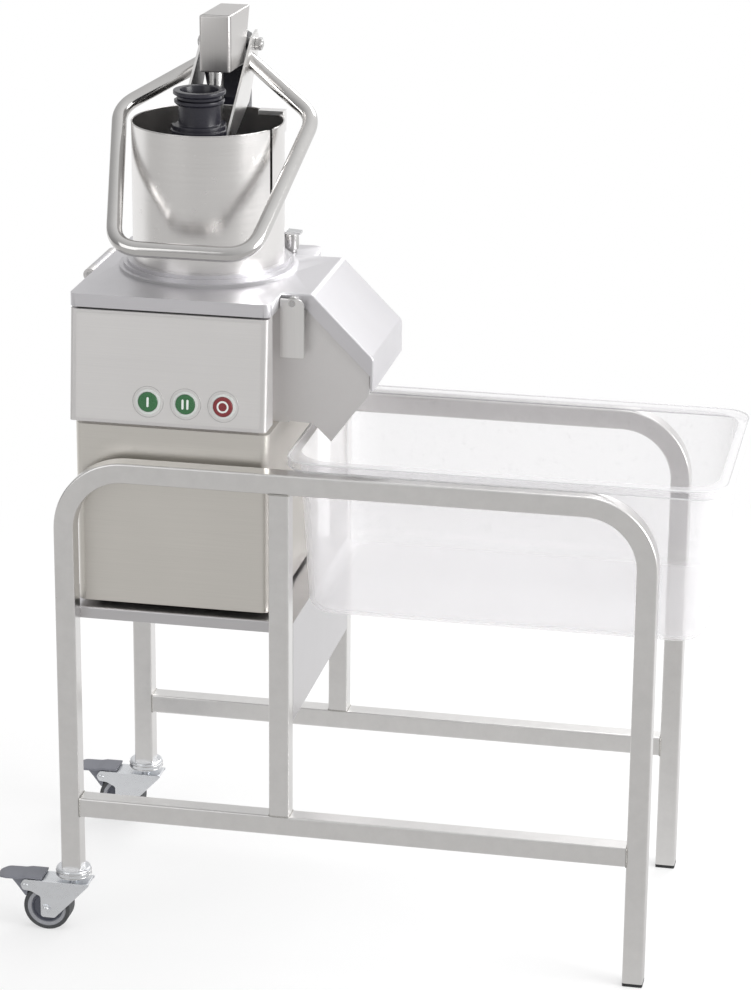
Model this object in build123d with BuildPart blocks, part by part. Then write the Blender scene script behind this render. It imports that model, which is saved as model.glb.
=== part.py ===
from build123d import *
from math import atan2, cos, degrees, hypot, radians, sin, sqrt, tan
import os

os.makedirs("parts", exist_ok=True)

# Vegetable cutting machine on a trolley, millimetres, +Z up, floor at z = 0.
# +X runs from the machine end to the container end, -Y is the operator's side.

# Trolley
tube = 25.0
tube_wall = 1.5
tube_corner = 2.5
frame_length = 734.0
frame_width = 372.0
rail_top = 626.0
bend_radius = 76.0
lower_rail_top = 184.0
post_offset = 267.0
shelf_top = 430.0
shelf_fold = 15.0
sheet = 2.0
cross_plate_height = 127.0
cap_height = 4.0
cap_plug = 18.0

# Casters
caster_leg_bottom = 86.0
wheel_diameter = 60.0
wheel_width = 22.0
hub_diameter = 39.0
caster_trail = 33.0
axle_diameter = 8.0
fork_sheet = 2.5
fork_gap = 1.2
swivel_diameter = 44.0
pedal_length = 97.5
pedal_width = 34.0

# Container, a gastronorm 1/1 tray
container_length = 530.0
container_width = 338.0
container_height = 202.0
container_wall = 3.0
container_draft = 13.0
container_corner = 48.0
container_foot_radius = 20.0
rim_width = 10.0
rim_corner = 38.0
rim_lip = 10.0
container_setback = 12.0
container_side_gap = 5.0

# Machine base
base_width = 240.0
base_depth = 288.0
base_offset = 19.0
base_back = 138.0
base_top = 662.0
base_corner = 10.0
base_sheet = 1.5
foot_height = 6.0
foot_diameter = 28.0
foot_inset = 32.0
ledge_sheet = 3.0
base_plate_thickness = 3.0
screw_radius = 3.0
screw_x = 104.0
screw_y = 90.0
gland_radius = 10.0
gland_bore = 6.0
gland_offset = 60.0
gland_rise = 40.0

# Bowl housing and control panel
panel_width = 242.0
panel_bottom = 671.0
panel_lean = 14.0
panel_reach = 15.0
housing_top = 806.0
housing_depth = 276.0
neck_inset = 13.0
housing_corner = 18.0
panel_thickness = 22.0
panel_edge = 5.0
seal_radius = 17.0
seal_height = 6.0
bowl_radius = 98.5
bowl_floor = 745.0
casting_wall = 8.0
label_thickness = 0.8
label_margin = 8.0

# Buttons
button_diameter = 24.0
button_spacing = 46.0
button_drop = 107.0
button_travel = 3.0
button_rise = 2.5
button_depth = 12.0
button_shift = 22.5
bezel_height = 1.2
bezel_width = 3.0

# Lid and chute hood
lid_width = 246.0
lid_thickness = 16.0
lid_gap = 2.0
lid_overhang = 1.0
lid_corner = 9.0
boss_height = 4.0
hood_front = -93.0
hood_back = 86.0
hood_flat = 38.0
hood_run = 75.0
hood_nose = 40.0
hood_roof = 4.0
hood_skirt_wall = 3.0
hood_skirt = 26.0
hood_crease = 9.0
hood_edge = 2.5

# Discharge chute under the hood
chute_wall = 3.0
chute_clearance = 0.5
chute_tip_x = 184.0
chute_tip_z = 641.0
chute_low = 664.0

# Lid latch and hinge
latch_width = 29.0
latch_length = 72.0
latch_thickness = 3.0
latch_standoff = 10.0
latch_pin_radius = 4.0
magnet_radius = 6.0
magnet_gap = 0.5
hinge_radius = 8.0
hinge_pin_radius = 4.0
hinge_span = 42.0
hinge_knuckle = 22.0
hinge_y = 20.0
hinge_gap = 0.5

# Hopper and feed head
hopper_offset = 8.0
hopper_y = 12.0
hopper_radius = 93.0
hopper_wall = 1.5
hopper_top = 1005.0
slot_length = 105.0
slot_width = 5.0
slot_angle = -21.4
ring_radius = 105.0
ring_step = 5.0
ring_height = 9.0

# Stop clip, clamp knob and strap
clip_x = 67.0
clip_y = 56.0
clip_length = 32.0
clip_width = 16.0
clip_height = 5.0
clip_sheet = 3.0
clip_drop = 22.0
knob_offset_x = 84.0
knob_y = 100.0
knob_radius = 9.5
knob_base = 4.0
knob_height = 20.0
knob_grooves = 20
strap_sheet = 3.0
strap_rise = 30.0

# Pusher, its tube and the small pusher
plate_clearance = 1.0
plate_thickness = 12.0
plate_gap = 4.0
tube_outer_radius = 28.0
tube_bore_radius = 26.0
tube_top = 1041.0
tube_y = -28.0
tube_rim_radius = 31.5
tube_rim_height = 6.0
collar_radius = 36.0
collar_height = 6.0
collar_z = 999.0
small_pusher_clearance = 0.4
small_flange_radius = 32.0
small_flange_height = 5.0
small_neck_height = 5.0
small_pusher_length = 214.0
small_floor = 3.0
small_wall = 2.5

# Lever
pivot_y = 130.0
pivot_z = 1078.0
yoke_z = 976.0
yoke_pin_radius = 4.0
lever_plate = 3.0
lever_inside = 29.5
lever_boss_radius = 15.0
lever_crown = 20.0
lever_foot = 15.0
lever_belly = 33.0
yoke_slot = 17.0
yoke_drop = 2.5
yoke_head = 3.0
side_gap = 0.5
bolt_head = 4.0
band_gap = 0.3
band_height = 16.0
pivot_pin_radius = 5.0
running_fit = 0.1
lever_swing = 58.0
handle_tube = 18.0
handle_wall = 1.5
handle_slope = 38.66
handle_start_y = 102.0
handle_start_z = 1059.0
handle_root = 8.0
handle_top_half = 120.5
handle_foot_half = 86.0
handle_shoulder = 83.0
handle_side = 212.0
handle_bend = 30.0

# Head block, column and guide rod
block_front_y = 30.0
block_back_top_y = 118.0
block_back_low_y = 94.0
block_bottom = 1061.0
block_height = 68.0
block_front_width = 34.0
block_back_width = 46.0
column_width = 50.0
column_front = 118.0
column_back = 136.0
column_bend_z = 1012.0
block_edge = 4.0
rod_diameter = 12.0
rod_y = 58.0

# Drive
shaft_diameter = 20.0
disc_radius = 95.0
disc_thickness = 4.0
disc_z = 794.0
ejector_z = 749.0
ejector_paddles = 4
ejector_paddle_height = 14.0
blade_count = 2
blade_opening = 16.0
blade_thickness = 1.5
nut_height = 8.0
motor_radius = 68.0
motor_height = 180.0
motor_flange_radius = 80.0
motor_flange_height = 8.0
end_bell = 22.0
bearing_width = 12.0

# Places worked out from the sizes above
container_overhang = post_offset + container_setback + container_length - frame_length
pedal_overhang = pedal_length - tube / 2
left = -(frame_length + container_overhang - pedal_overhang) / 2
right = left + frame_length
rail_bottom = rail_top - tube
leg_y = (frame_width - tube) / 2
inner_y = frame_width / 2 - tube
post_x = left + post_offset
post_right = post_x + tube
sides = (("front", -1), ("rear", 1))
machine_x = left + base_offset + base_width / 2
base_front = base_back - base_depth
base_bottom = shelf_top + foot_height
hopper_x = machine_x + hopper_offset
lid_bottom = housing_top + lid_gap
lid_top = lid_bottom + lid_thickness
boss_top = lid_top + boss_height


def save(piece, name):
    piece.part.label = name
    export_step(piece.part, f"parts/{name}.step")


def square_tube_section():
    RectangleRounded(tube, tube, tube_corner)
    RectangleRounded(tube - 2 * tube_wall, tube - 2 * tube_wall, tube_corner - tube_wall, mode=Mode.SUBTRACT)


# Hoops: a bent square tube down each long side of the trolley, its left leg cut short for the caster
for side, sign in sides:
    hoop_y = sign * leg_y
    leg_left = left + tube / 2
    leg_right = right - tube / 2
    rail_z = rail_top - tube / 2
    with BuildPart() as hoop:
        with BuildLine(Plane.XZ.offset(-hoop_y)):
            FilletPolyline(
                (leg_left, caster_leg_bottom),
                (leg_left, rail_z),
                (leg_right, rail_z),
                (leg_right, cap_height),
                radius=bend_radius,
            )
        with BuildSketch(Plane(origin=(leg_left, hoop_y, caster_leg_bottom))):
            square_tube_section()
        sweep()
    save(hoop, f"{side}_hoop")

# Mid posts stand on the lower rails and carry the shelf and the top rail
for side, sign in sides:
    with BuildPart() as mid_post:
        with BuildSketch(Plane(origin=(post_x + tube / 2, sign * leg_y, lower_rail_top))):
            square_tube_section()
        extrude(amount=rail_bottom - lower_rail_top)
    save(mid_post, f"{side}_mid_post")

# Lower rails run between the legs
for side, sign in sides:
    rail_start = Plane(
        origin=(left + tube, sign * leg_y, lower_rail_top - tube / 2), x_dir=(0, 1, 0), z_dir=(1, 0, 0)
    )
    with BuildPart() as lower_rail:
        with BuildSketch(rail_start):
            square_tube_section()
        extrude(amount=frame_length - 2 * tube)
    save(lower_rail, f"{side}_lower_rail")

# Machine shelf: a sheet with both long edges folded down against the posts and legs
with BuildPart() as machine_shelf:
    with BuildSketch(Plane.YZ.offset(left + sheet)):
        with Locations((0, shelf_top - shelf_fold / 2)):
            RectangleRounded(2 * inner_y, shelf_fold, sheet)
        with Locations((0, shelf_top - shelf_fold / 2 - sheet)):
            Rectangle(2 * inner_y - 2 * sheet, shelf_fold, mode=Mode.SUBTRACT)
    extrude(amount=post_offset + tube - 2 * sheet)
save(machine_shelf, "machine_shelf")

# Cross plate: closes the shelf's container end and braces the two mid posts
with BuildPart() as cross_plate:
    with BuildSketch(Plane.YZ.offset(post_right - sheet)):
        with Locations((0, shelf_top - cross_plate_height / 2)):
            Rectangle(2 * inner_y, cross_plate_height)
    extrude(amount=sheet)
save(cross_plate, "cross_plate")

# Foot caps plug the right legs
with BuildPart() as foot_caps:
    with BuildSketch():
        with Locations((right - tube / 2, -leg_y), (right - tube / 2, leg_y)):
            RectangleRounded(tube, tube, tube_corner)
    extrude(amount=cap_height)
    with BuildSketch(Plane.XY.offset(cap_height)):
        with Locations((right - tube / 2, -leg_y), (right - tube / 2, leg_y)):
            Rectangle(tube - 2 * tube_wall - 1, tube - 2 * tube_wall - 1)
    extrude(amount=cap_plug)
save(foot_caps, "foot_caps")

# Casters
swivel_x = left + tube / 2
head_height = 12.0
head_bottom = caster_leg_bottom - head_height
fork_top = head_bottom - 0.4
fork_inside = wheel_width / 2 + fork_gap
fork_outside = fork_inside + fork_sheet
wheel_z = wheel_diameter / 2
wheel_x = swivel_x - caster_trail
fork_plate_top = fork_top - 6.0
pedal_pivot_x = swivel_x - 60.0
pedal_pivot_z = fork_plate_top - 9.0
kingpin_radius = 6.0
fork_roof = 3.0
pedal_pin_radius = 3.0

with BuildPart() as caster_heads:
    for _, sign in sides:
        with BuildSketch(Plane(origin=(swivel_x, sign * leg_y, head_bottom))):
            Circle(swivel_diameter / 2)
        extrude(amount=head_height)
        with BuildSketch(Plane(origin=(swivel_x, sign * leg_y, caster_leg_bottom))):
            Circle(tube / 2 - tube_wall - 0.5)
        extrude(amount=cap_plug)
        with BuildSketch(Plane(origin=(swivel_x, sign * leg_y, fork_plate_top - fork_roof - 0.3))):
            Circle(kingpin_radius)
        extrude(amount=head_bottom - fork_plate_top + fork_roof + 0.3)
        with BuildSketch(Plane(origin=(swivel_x, sign * leg_y, fork_plate_top - fork_roof - 0.3))):
            Circle(kingpin_radius + 3)
        extrude(amount=-4)
    fillet(caster_heads.edges().filter_by(GeomType.CIRCLE).filter_by(
        lambda e: abs(e.radius - swivel_diameter / 2) < 0.01), 3)
save(caster_heads, "caster_heads")

for side, sign in sides:
    wheel_plane = Plane.XZ.offset(-sign * leg_y)
    with BuildPart() as caster_fork:
        with BuildSketch(wheel_plane):
            with BuildLine():
                Polyline(
                    (swivel_x - 66, fork_plate_top - 6),
                    (swivel_x - 60, fork_plate_top),
                    (swivel_x + 24, fork_plate_top),
                    (swivel_x + 24, fork_plate_top - 6),
                    (swivel_x + 5, wheel_z + 14),
                    (wheel_x + 9, wheel_z - 9),
                    (wheel_x - 8, wheel_z - 9),
                    (wheel_x - 9, wheel_z + 10),
                    (swivel_x - 56, fork_plate_top - 15),
                    close=True,
                )
            make_face()
            fillet(vertices().sort_by(Axis.Y)[0:2], 4)
        extrude(amount=fork_outside, both=True)
        with BuildSketch(wheel_plane):
            with Locations((swivel_x, (fork_plate_top - fork_roof) / 2)):
                Rectangle(4 * swivel_diameter, fork_plate_top - fork_roof)
        extrude(amount=fork_inside, both=True, mode=Mode.SUBTRACT)
        with BuildSketch(wheel_plane):
            with Locations((pedal_pivot_x, pedal_pivot_z)):
                Circle(pedal_pin_radius + running_fit)
        extrude(amount=fork_outside, both=True, mode=Mode.SUBTRACT)
        with BuildSketch(Plane(origin=(swivel_x, sign * leg_y, fork_plate_top))):
            Circle(swivel_diameter / 2 - 4)
        extrude(amount=fork_top - fork_plate_top)
        with BuildSketch(Plane(origin=(swivel_x, sign * leg_y, 0))):
            Circle(kingpin_radius + running_fit)
        extrude(amount=caster_leg_bottom, mode=Mode.SUBTRACT)
        with BuildSketch(wheel_plane):
            with Locations((wheel_x, wheel_z)):
                Circle(axle_diameter / 2)
        extrude(amount=fork_outside + 2, both=True)
    save(caster_fork, f"caster_fork_{side}")

    with BuildPart() as caster_hub:
        with BuildSketch(wheel_plane):
            with Locations((wheel_x, wheel_z)):
                Circle(hub_diameter / 2)
                Circle(axle_diameter / 2 + running_fit, mode=Mode.SUBTRACT)
        extrude(amount=wheel_width / 2, both=True)
        for face_sign in (-1, 1):
            with BuildSketch(Plane.XZ.offset(-sign * leg_y + face_sign * wheel_width / 2)):
                with Locations((wheel_x, wheel_z)):
                    Circle(hub_diameter / 2 - 4)
                    Circle(axle_diameter / 2 + 3, mode=Mode.SUBTRACT)
            extrude(amount=-face_sign * 4, mode=Mode.SUBTRACT)
    save(caster_hub, f"caster_hub_{side}")

    with BuildPart() as caster_tyre:
        with BuildSketch(wheel_plane):
            with Locations((wheel_x, wheel_z)):
                Circle(wheel_diameter / 2)
                Circle(hub_diameter / 2, mode=Mode.SUBTRACT)
        extrude(amount=wheel_width / 2, both=True)
        fillet(caster_tyre.edges().filter_by(GeomType.CIRCLE).filter_by(
            lambda e: abs(e.radius - wheel_diameter / 2) < 0.01), 3)
    save(caster_tyre, f"caster_tyre_{side}")

    with BuildPart() as brake_pedal:
        with BuildSketch(wheel_plane):
            with BuildLine():
                Polyline(
                    (swivel_x - pedal_length, fork_plate_top + 1),
                    (swivel_x - pedal_length + 9, fork_plate_top + 13),
                    (swivel_x - 64, fork_plate_top + 12),
                    (swivel_x - 52, fork_plate_top + 14),
                    (swivel_x - 33, fork_plate_top + 14),
                    (swivel_x - 40, fork_plate_top + 1.5),
                    (swivel_x - 67.5, fork_plate_top + 1.5),
                    (swivel_x - 74, fork_plate_top - 14),
                    (swivel_x - 87, fork_plate_top),
                    close=True,
                )
            make_face()
        extrude(amount=pedal_width / 2, both=True)
        with BuildSketch(wheel_plane):
            with Locations((pedal_pivot_x, pedal_pivot_z)):
                Circle(pedal_pin_radius + 2)
            with Locations((pedal_pivot_x - 6, pedal_pivot_z)):
                Rectangle(16, 8)
        extrude(amount=fork_inside - 0.4, both=True)
        with BuildSketch(wheel_plane):
            with Locations((pedal_pivot_x, pedal_pivot_z)):
                Circle(pedal_pin_radius)
        extrude(amount=fork_outside, both=True)
    save(brake_pedal, f"brake_pedal_{side}")

# Container: a drafted tray with a flange whose lip rests on both top rails
container_x = post_x + container_setback + container_length / 2
rim_top = rail_top + rim_lip
container_bottom = rim_top - container_height
body_length = container_length - 2 * rim_width
body_width = 2 * inner_y - 2 * container_side_gap
draft_angle = degrees(atan2(container_draft, container_height))


def drafted_tray(inset):
    with BuildPart() as tray:
        with BuildSketch(Plane(origin=(container_x, 0, rim_top))):
            RectangleRounded(body_length - 2 * inset, body_width - 2 * inset, container_corner - inset)
        extrude(amount=inset - container_height, taper=draft_angle)
        fillet(tray.faces().sort_by(Axis.Z)[0].edges(), container_foot_radius - inset)
    return tray.part


tray_body = drafted_tray(0)
tray_cavity = drafted_tray(container_wall)
with BuildPart() as container:
    add(tray_body)
    with BuildSketch(Plane(origin=(container_x, 0, rim_top))):
        RectangleRounded(container_length, container_width, rim_corner)
    extrude(amount=-container_wall)
    with BuildSketch(Plane(origin=(container_x, 0, rail_top))):
        RectangleRounded(container_length, container_width, rim_corner)
        RectangleRounded(container_length - 2 * container_wall, container_width - 2 * container_wall,
                         rim_corner - container_wall, mode=Mode.SUBTRACT)
    extrude(amount=rim_lip)
    add(tray_cavity, mode=Mode.SUBTRACT)
save(container, "container")

# Machine feet stand on the shelf
foot_x = base_width / 2 - foot_inset
foot_y = base_depth / 2 - foot_inset
base_y = base_back - base_depth / 2
base_plane = Plane(origin=(machine_x, base_y, shelf_top))
with BuildPart() as machine_feet:
    with BuildSketch(base_plane):
        with GridLocations(2 * foot_x, 2 * foot_y, 2, 2):
            Circle(foot_diameter / 2)
    extrude(amount=foot_height)
    chamfer(machine_feet.faces().sort_by(Axis.Z)[:4].edges(), 1.5)
save(machine_feet, "machine_feet")

# Base shell: a folded stainless wrap with an inward ledge at the top that carries the bowl housing
with BuildPart() as base_shell:
    with BuildSketch(base_plane.offset(foot_height)):
        RectangleRounded(base_width, base_depth, base_corner)
        RectangleRounded(base_width - 2 * base_sheet, base_depth - 2 * base_sheet, base_corner - base_sheet,
                         mode=Mode.SUBTRACT)
    extrude(amount=base_top - base_bottom)
    with BuildSketch(Plane(origin=(machine_x, base_y, base_top))):
        RectangleRounded(base_width, base_depth, base_corner)
        with Locations((hopper_offset, hopper_y - base_y)):
            Circle(motor_flange_radius + 1, mode=Mode.SUBTRACT)
    extrude(amount=-ledge_sheet)
    with BuildSketch(Plane(origin=(machine_x + gland_offset, base_back, base_bottom + gland_rise), z_dir=(0, 1, 0))):
        Circle(gland_radius)
    extrude(amount=-3 * base_sheet, mode=Mode.SUBTRACT)
save(base_shell, "base_shell")

# Base plate closes the shell from below and holds the feet
with BuildPart() as base_plate:
    with BuildSketch(base_plane.offset(foot_height)):
        RectangleRounded(base_width - 2 * base_sheet - 1, base_depth - 2 * base_sheet - 1, base_corner - base_sheet)
        with GridLocations(2 * screw_x, 2 * screw_y, 2, 2):
            Circle(screw_radius, mode=Mode.SUBTRACT)
    extrude(amount=base_plate_thickness)
save(base_plate, "base_plate")

with BuildPart() as base_plate_screws:
    with BuildSketch(base_plane.offset(foot_height)):
        with GridLocations(2 * screw_x, 2 * screw_y, 2, 2):
            Circle(screw_radius)
    extrude(amount=base_plate_thickness + 6)
    with BuildSketch(base_plane.offset(foot_height)):
        with GridLocations(2 * screw_x, 2 * screw_y, 2, 2):
            Circle(screw_radius * 2)
    extrude(amount=-2.5)
save(base_plate_screws, "base_plate_screws")

# Cable gland at the back of the base
with BuildPart() as cable_gland:
    with BuildSketch(Plane(origin=(machine_x + gland_offset, base_back, base_bottom + gland_rise), z_dir=(0, 1, 0))):
        RegularPolygon(gland_radius + 5, 6)
        Circle(gland_bore, mode=Mode.SUBTRACT)
    extrude(amount=6)
    with BuildSketch(Plane(origin=(machine_x + gland_offset, base_back + 6, base_bottom + gland_rise), z_dir=(0, 1, 0))):
        Circle(gland_radius + 1)
        Circle(gland_bore, mode=Mode.SUBTRACT)
    extrude(amount=9)
    chamfer(cable_gland.faces().sort_by(Axis.Y)[-1].outer_wire().edges(), 3)
    with BuildSketch(Plane(origin=(machine_x + gland_offset, base_back, base_bottom + gland_rise), z_dir=(0, 1, 0))):
        Circle(gland_radius)
        Circle(gland_bore, mode=Mode.SUBTRACT)
    extrude(amount=-8)
save(cable_gland, "cable_gland")

# Motor: case hung from the bowl housing, with the rotor and its two bearings inside
motor_top = base_top
motor_bottom = motor_top - motor_height
rotor_radius = motor_radius * 0.58
bearing_radius = shaft_diameter / 2 + 9
with BuildPart() as motor_case:
    with BuildSketch(Plane(origin=(hopper_x, hopper_y, motor_bottom))):
        Circle(motor_radius)
    extrude(amount=motor_height)
    with BuildSketch(Plane(origin=(hopper_x, hopper_y, motor_top))):
        Circle(motor_flange_radius)
    extrude(amount=-motor_flange_height)
    with BuildSketch(Plane(origin=(hopper_x, hopper_y, motor_bottom + end_bell))):
        Circle(rotor_radius + 0.6)
    extrude(amount=motor_height - 2 * end_bell, mode=Mode.SUBTRACT)
    with BuildSketch(Plane(origin=(hopper_x, hopper_y, motor_bottom + 4))):
        Circle(bearing_radius)
    extrude(amount=motor_height, mode=Mode.SUBTRACT)
save(motor_case, "motor_case")

with BuildPart() as motor_bearings:
    for z in (motor_bottom + 4, motor_top - bearing_width):
        with BuildSketch(Plane(origin=(hopper_x, hopper_y, z))):
            Circle(bearing_radius)
            Circle(shaft_diameter / 2 + running_fit, mode=Mode.SUBTRACT)
        extrude(amount=bearing_width)
save(motor_bearings, "motor_bearings")

with BuildPart() as motor_rotor:
    with BuildSketch(Plane(origin=(hopper_x, hopper_y, motor_bottom + end_bell + 8))):
        Circle(rotor_radius)
        Circle(shaft_diameter / 2, mode=Mode.SUBTRACT)
    extrude(amount=motor_height - 2 * end_bell - 16)
save(motor_rotor, "motor_rotor")

# Bowl housing: the cast block over the base, with the leaning front panel and the neck towards the chute
panel_height = housing_top - panel_bottom
lean_angle = degrees(atan2(panel_lean, panel_height))
panel_top_y = base_front - panel_reach + panel_lean - 2
panel_plane = Plane(
    origin=(machine_x, panel_top_y, housing_top),
    x_dir=(1, 0, 0),
    z_dir=(0, -cos(radians(lean_angle)), sin(radians(lean_angle))),
)
panel_length = hypot(panel_lean, panel_height)
housing_left = machine_x - base_width / 2 + 2
housing_right = machine_x + base_width / 2 - neck_inset
neck_right = machine_x + panel_width / 2 + 11
chute_front = hood_front + hood_skirt_wall + chute_clearance
chute_back = hood_back - hood_skirt_wall - chute_clearance
passage_front = chute_front + chute_wall
passage_back = chute_back - chute_wall
passage_y = (passage_front + passage_back) / 2
floor_start_x = hopper_x + bowl_radius * 0.82
floor_sum = floor_start_x + bowl_floor
button_spots = [(k * button_spacing + button_shift, -button_drop) for k in (-1, 0, 1)]

with BuildPart() as bowl_housing:
    with BuildSketch(Plane.YZ.offset(machine_x - panel_width / 2)):
        with BuildLine():
            Polyline(
                (panel_top_y + panel_thickness, panel_bottom),
                (panel_top_y - panel_lean, panel_bottom),
                (panel_top_y, housing_top),
                (panel_top_y + panel_thickness, housing_top),
                close=True,
            )
        make_face()
    extrude(amount=panel_width)
    fillet(bowl_housing.faces().sort_by(Axis.Y)[0].edges().filter_by(
        lambda e: abs(e.tangent_at(0.5).X) < 0.1), panel_edge)
    with BuildSketch(Plane(origin=(0, 0, base_top))):
        with BuildLine():
            Polyline(
                (housing_left, panel_top_y + panel_thickness / 2),
                (housing_right, panel_top_y + panel_thickness / 2),
                (housing_right, base_back),
                (housing_left, base_back),
                close=True,
            )
        make_face()
        fillet(vertices().sort_by(Axis.Y)[-2:], housing_corner)
    extrude(amount=housing_top - base_top)
    with BuildSketch(Plane(origin=(0, 0, base_top))):
        with Locations(((housing_right + neck_right) / 2 - 5, (chute_front + chute_back) / 2)):
            Rectangle(neck_right - housing_right + 10, chute_back - chute_front)
    extrude(amount=housing_top - base_top)
    with BuildSketch(Plane(origin=(hopper_x, hopper_y, bowl_floor))):
        Circle(bowl_radius)
    extrude(amount=housing_top - bowl_floor, mode=Mode.SUBTRACT)
    with BuildSketch(Plane.XZ.offset(-passage_back)):
        with BuildLine():
            Polyline(
                (floor_start_x - 40, bowl_floor),
                (floor_start_x, bowl_floor),
                (neck_right, floor_sum - neck_right),
                (neck_right, housing_top),
                (floor_start_x - 40, housing_top),
                close=True,
            )
        make_face()
    extrude(amount=passage_back - passage_front, mode=Mode.SUBTRACT)
    with BuildSketch(Plane(origin=(hopper_x, hopper_y, base_top))):
        Circle(seal_radius)
    extrude(amount=bowl_floor - base_top, mode=Mode.SUBTRACT)
    with BuildSketch(Plane(origin=(0, 0, base_top))):
        with BuildLine():
            Polyline(
                (housing_left + casting_wall, panel_top_y + panel_thickness + casting_wall),
                (floor_start_x - 12, panel_top_y + panel_thickness + casting_wall),
                (floor_start_x - 12, base_back - casting_wall),
                (housing_left + casting_wall, base_back - casting_wall),
                close=True,
            )
        make_face()
        with Locations((hopper_x, hopper_y)):
            Circle(motor_flange_radius + 2, mode=Mode.SUBTRACT)
            Circle(motor_flange_radius - 12)
            Circle(seal_radius + casting_wall, mode=Mode.SUBTRACT)
    extrude(amount=bowl_floor - casting_wall - base_top, mode=Mode.SUBTRACT)
    with BuildSketch(panel_plane):
        with Locations(*button_spots):
            Circle(button_diameter / 2 + 0.3)
    extrude(amount=-button_depth - button_travel - 2, mode=Mode.SUBTRACT)
save(bowl_housing, "bowl_housing")

# Shaft seal keeps juice out of the motor
with BuildPart() as shaft_seal:
    with BuildSketch(Plane(origin=(hopper_x, hopper_y, bowl_floor - seal_height))):
        Circle(seal_radius)
        Circle(shaft_diameter / 2 + running_fit, mode=Mode.SUBTRACT)
    extrude(amount=seal_height)
save(shaft_seal, "shaft_seal")

# Control label, its bezel rings and the three buttons
label_plane = panel_plane.offset(label_thickness)
with BuildPart() as control_label:
    with BuildSketch(panel_plane):
        with Locations((0, -panel_length / 2)):
            RectangleRounded(panel_width - 2 * label_margin, panel_length - label_margin, 3)
        with Locations(*button_spots):
            Circle(button_diameter / 2 + 0.3, mode=Mode.SUBTRACT)
    extrude(amount=label_thickness)
save(control_label, "control_label")

with BuildPart() as button_bezels:
    with BuildSketch(label_plane):
        with Locations(*button_spots):
            Circle(button_diameter / 2 + 0.3 + bezel_width)
            Circle(button_diameter / 2 + 0.3, mode=Mode.SUBTRACT)
    extrude(amount=bezel_height)
save(button_bezels, "button_bezels")

for spot, name in zip(button_spots, ("button_speed_one", "button_speed_two", "button_stop")):
    with BuildPart() as button:
        with BuildSketch(label_plane.offset(button_rise)):
            with Locations(spot):
                Circle(button_diameter / 2)
        extrude(amount=-button_depth)
        fillet(button.edges().sort_by(Axis.Y)[0], 1)
    save(button, name)

# Drive shaft with the ejector disc and the slicing disc above it
with BuildPart() as drive_shaft:
    with BuildSketch(Plane(origin=(hopper_x, hopper_y, motor_bottom + 6))):
        Circle(shaft_diameter / 2)
    extrude(amount=disc_z + disc_thickness - motor_bottom - 6)
    chamfer(drive_shaft.edges().sort_by(Axis.Z)[-1], 1)
save(drive_shaft, "drive_shaft")

with BuildPart() as ejector_disc:
    with BuildSketch(Plane(origin=(hopper_x, hopper_y, ejector_z))):
        Circle(disc_radius - 12)
        Circle(shaft_diameter / 2, mode=Mode.SUBTRACT)
    extrude(amount=3)
    with BuildSketch(Plane(origin=(hopper_x, hopper_y, ejector_z))):
        Circle(shaft_diameter)
        Circle(shaft_diameter / 2, mode=Mode.SUBTRACT)
    extrude(amount=disc_z - ejector_z)
    with BuildSketch(Plane(origin=(hopper_x, hopper_y, ejector_z))):
        with PolarLocations((disc_radius + shaft_diameter) / 2, ejector_paddles):
            Rectangle(disc_radius - shaft_diameter - 2, 5)
    extrude(amount=ejector_paddle_height)
save(ejector_disc, "ejector_disc")

with BuildPart() as slicing_disc:
    with BuildSketch(Plane(origin=(hopper_x, hopper_y, disc_z))):
        Circle(disc_radius)
        Circle(shaft_diameter / 2, mode=Mode.SUBTRACT)
        with PolarLocations(disc_radius * 0.58, blade_count):
            SlotOverall(disc_radius * 0.66, blade_opening, mode=Mode.SUBTRACT)
    extrude(amount=disc_thickness)
save(slicing_disc, "slicing_disc")

with BuildPart() as slicing_blades:
    with BuildSketch(Plane(origin=(hopper_x, hopper_y, disc_z + disc_thickness))):
        with PolarLocations(disc_radius * 0.58, blade_count):
            with Locations((0, blade_opening / 2 + 5)):
                Rectangle(disc_radius * 0.66, 12)
    extrude(amount=blade_thickness)
save(slicing_blades, "slicing_blades")

with BuildPart() as disc_nut:
    with BuildSketch(Plane(origin=(hopper_x, hopper_y, disc_z + disc_thickness))):
        RegularPolygon(14, 6)
    extrude(amount=nut_height)
    chamfer(disc_nut.faces().sort_by(Axis.Z)[-1].edges(), 1.5)
save(disc_nut, "disc_nut")

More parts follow.
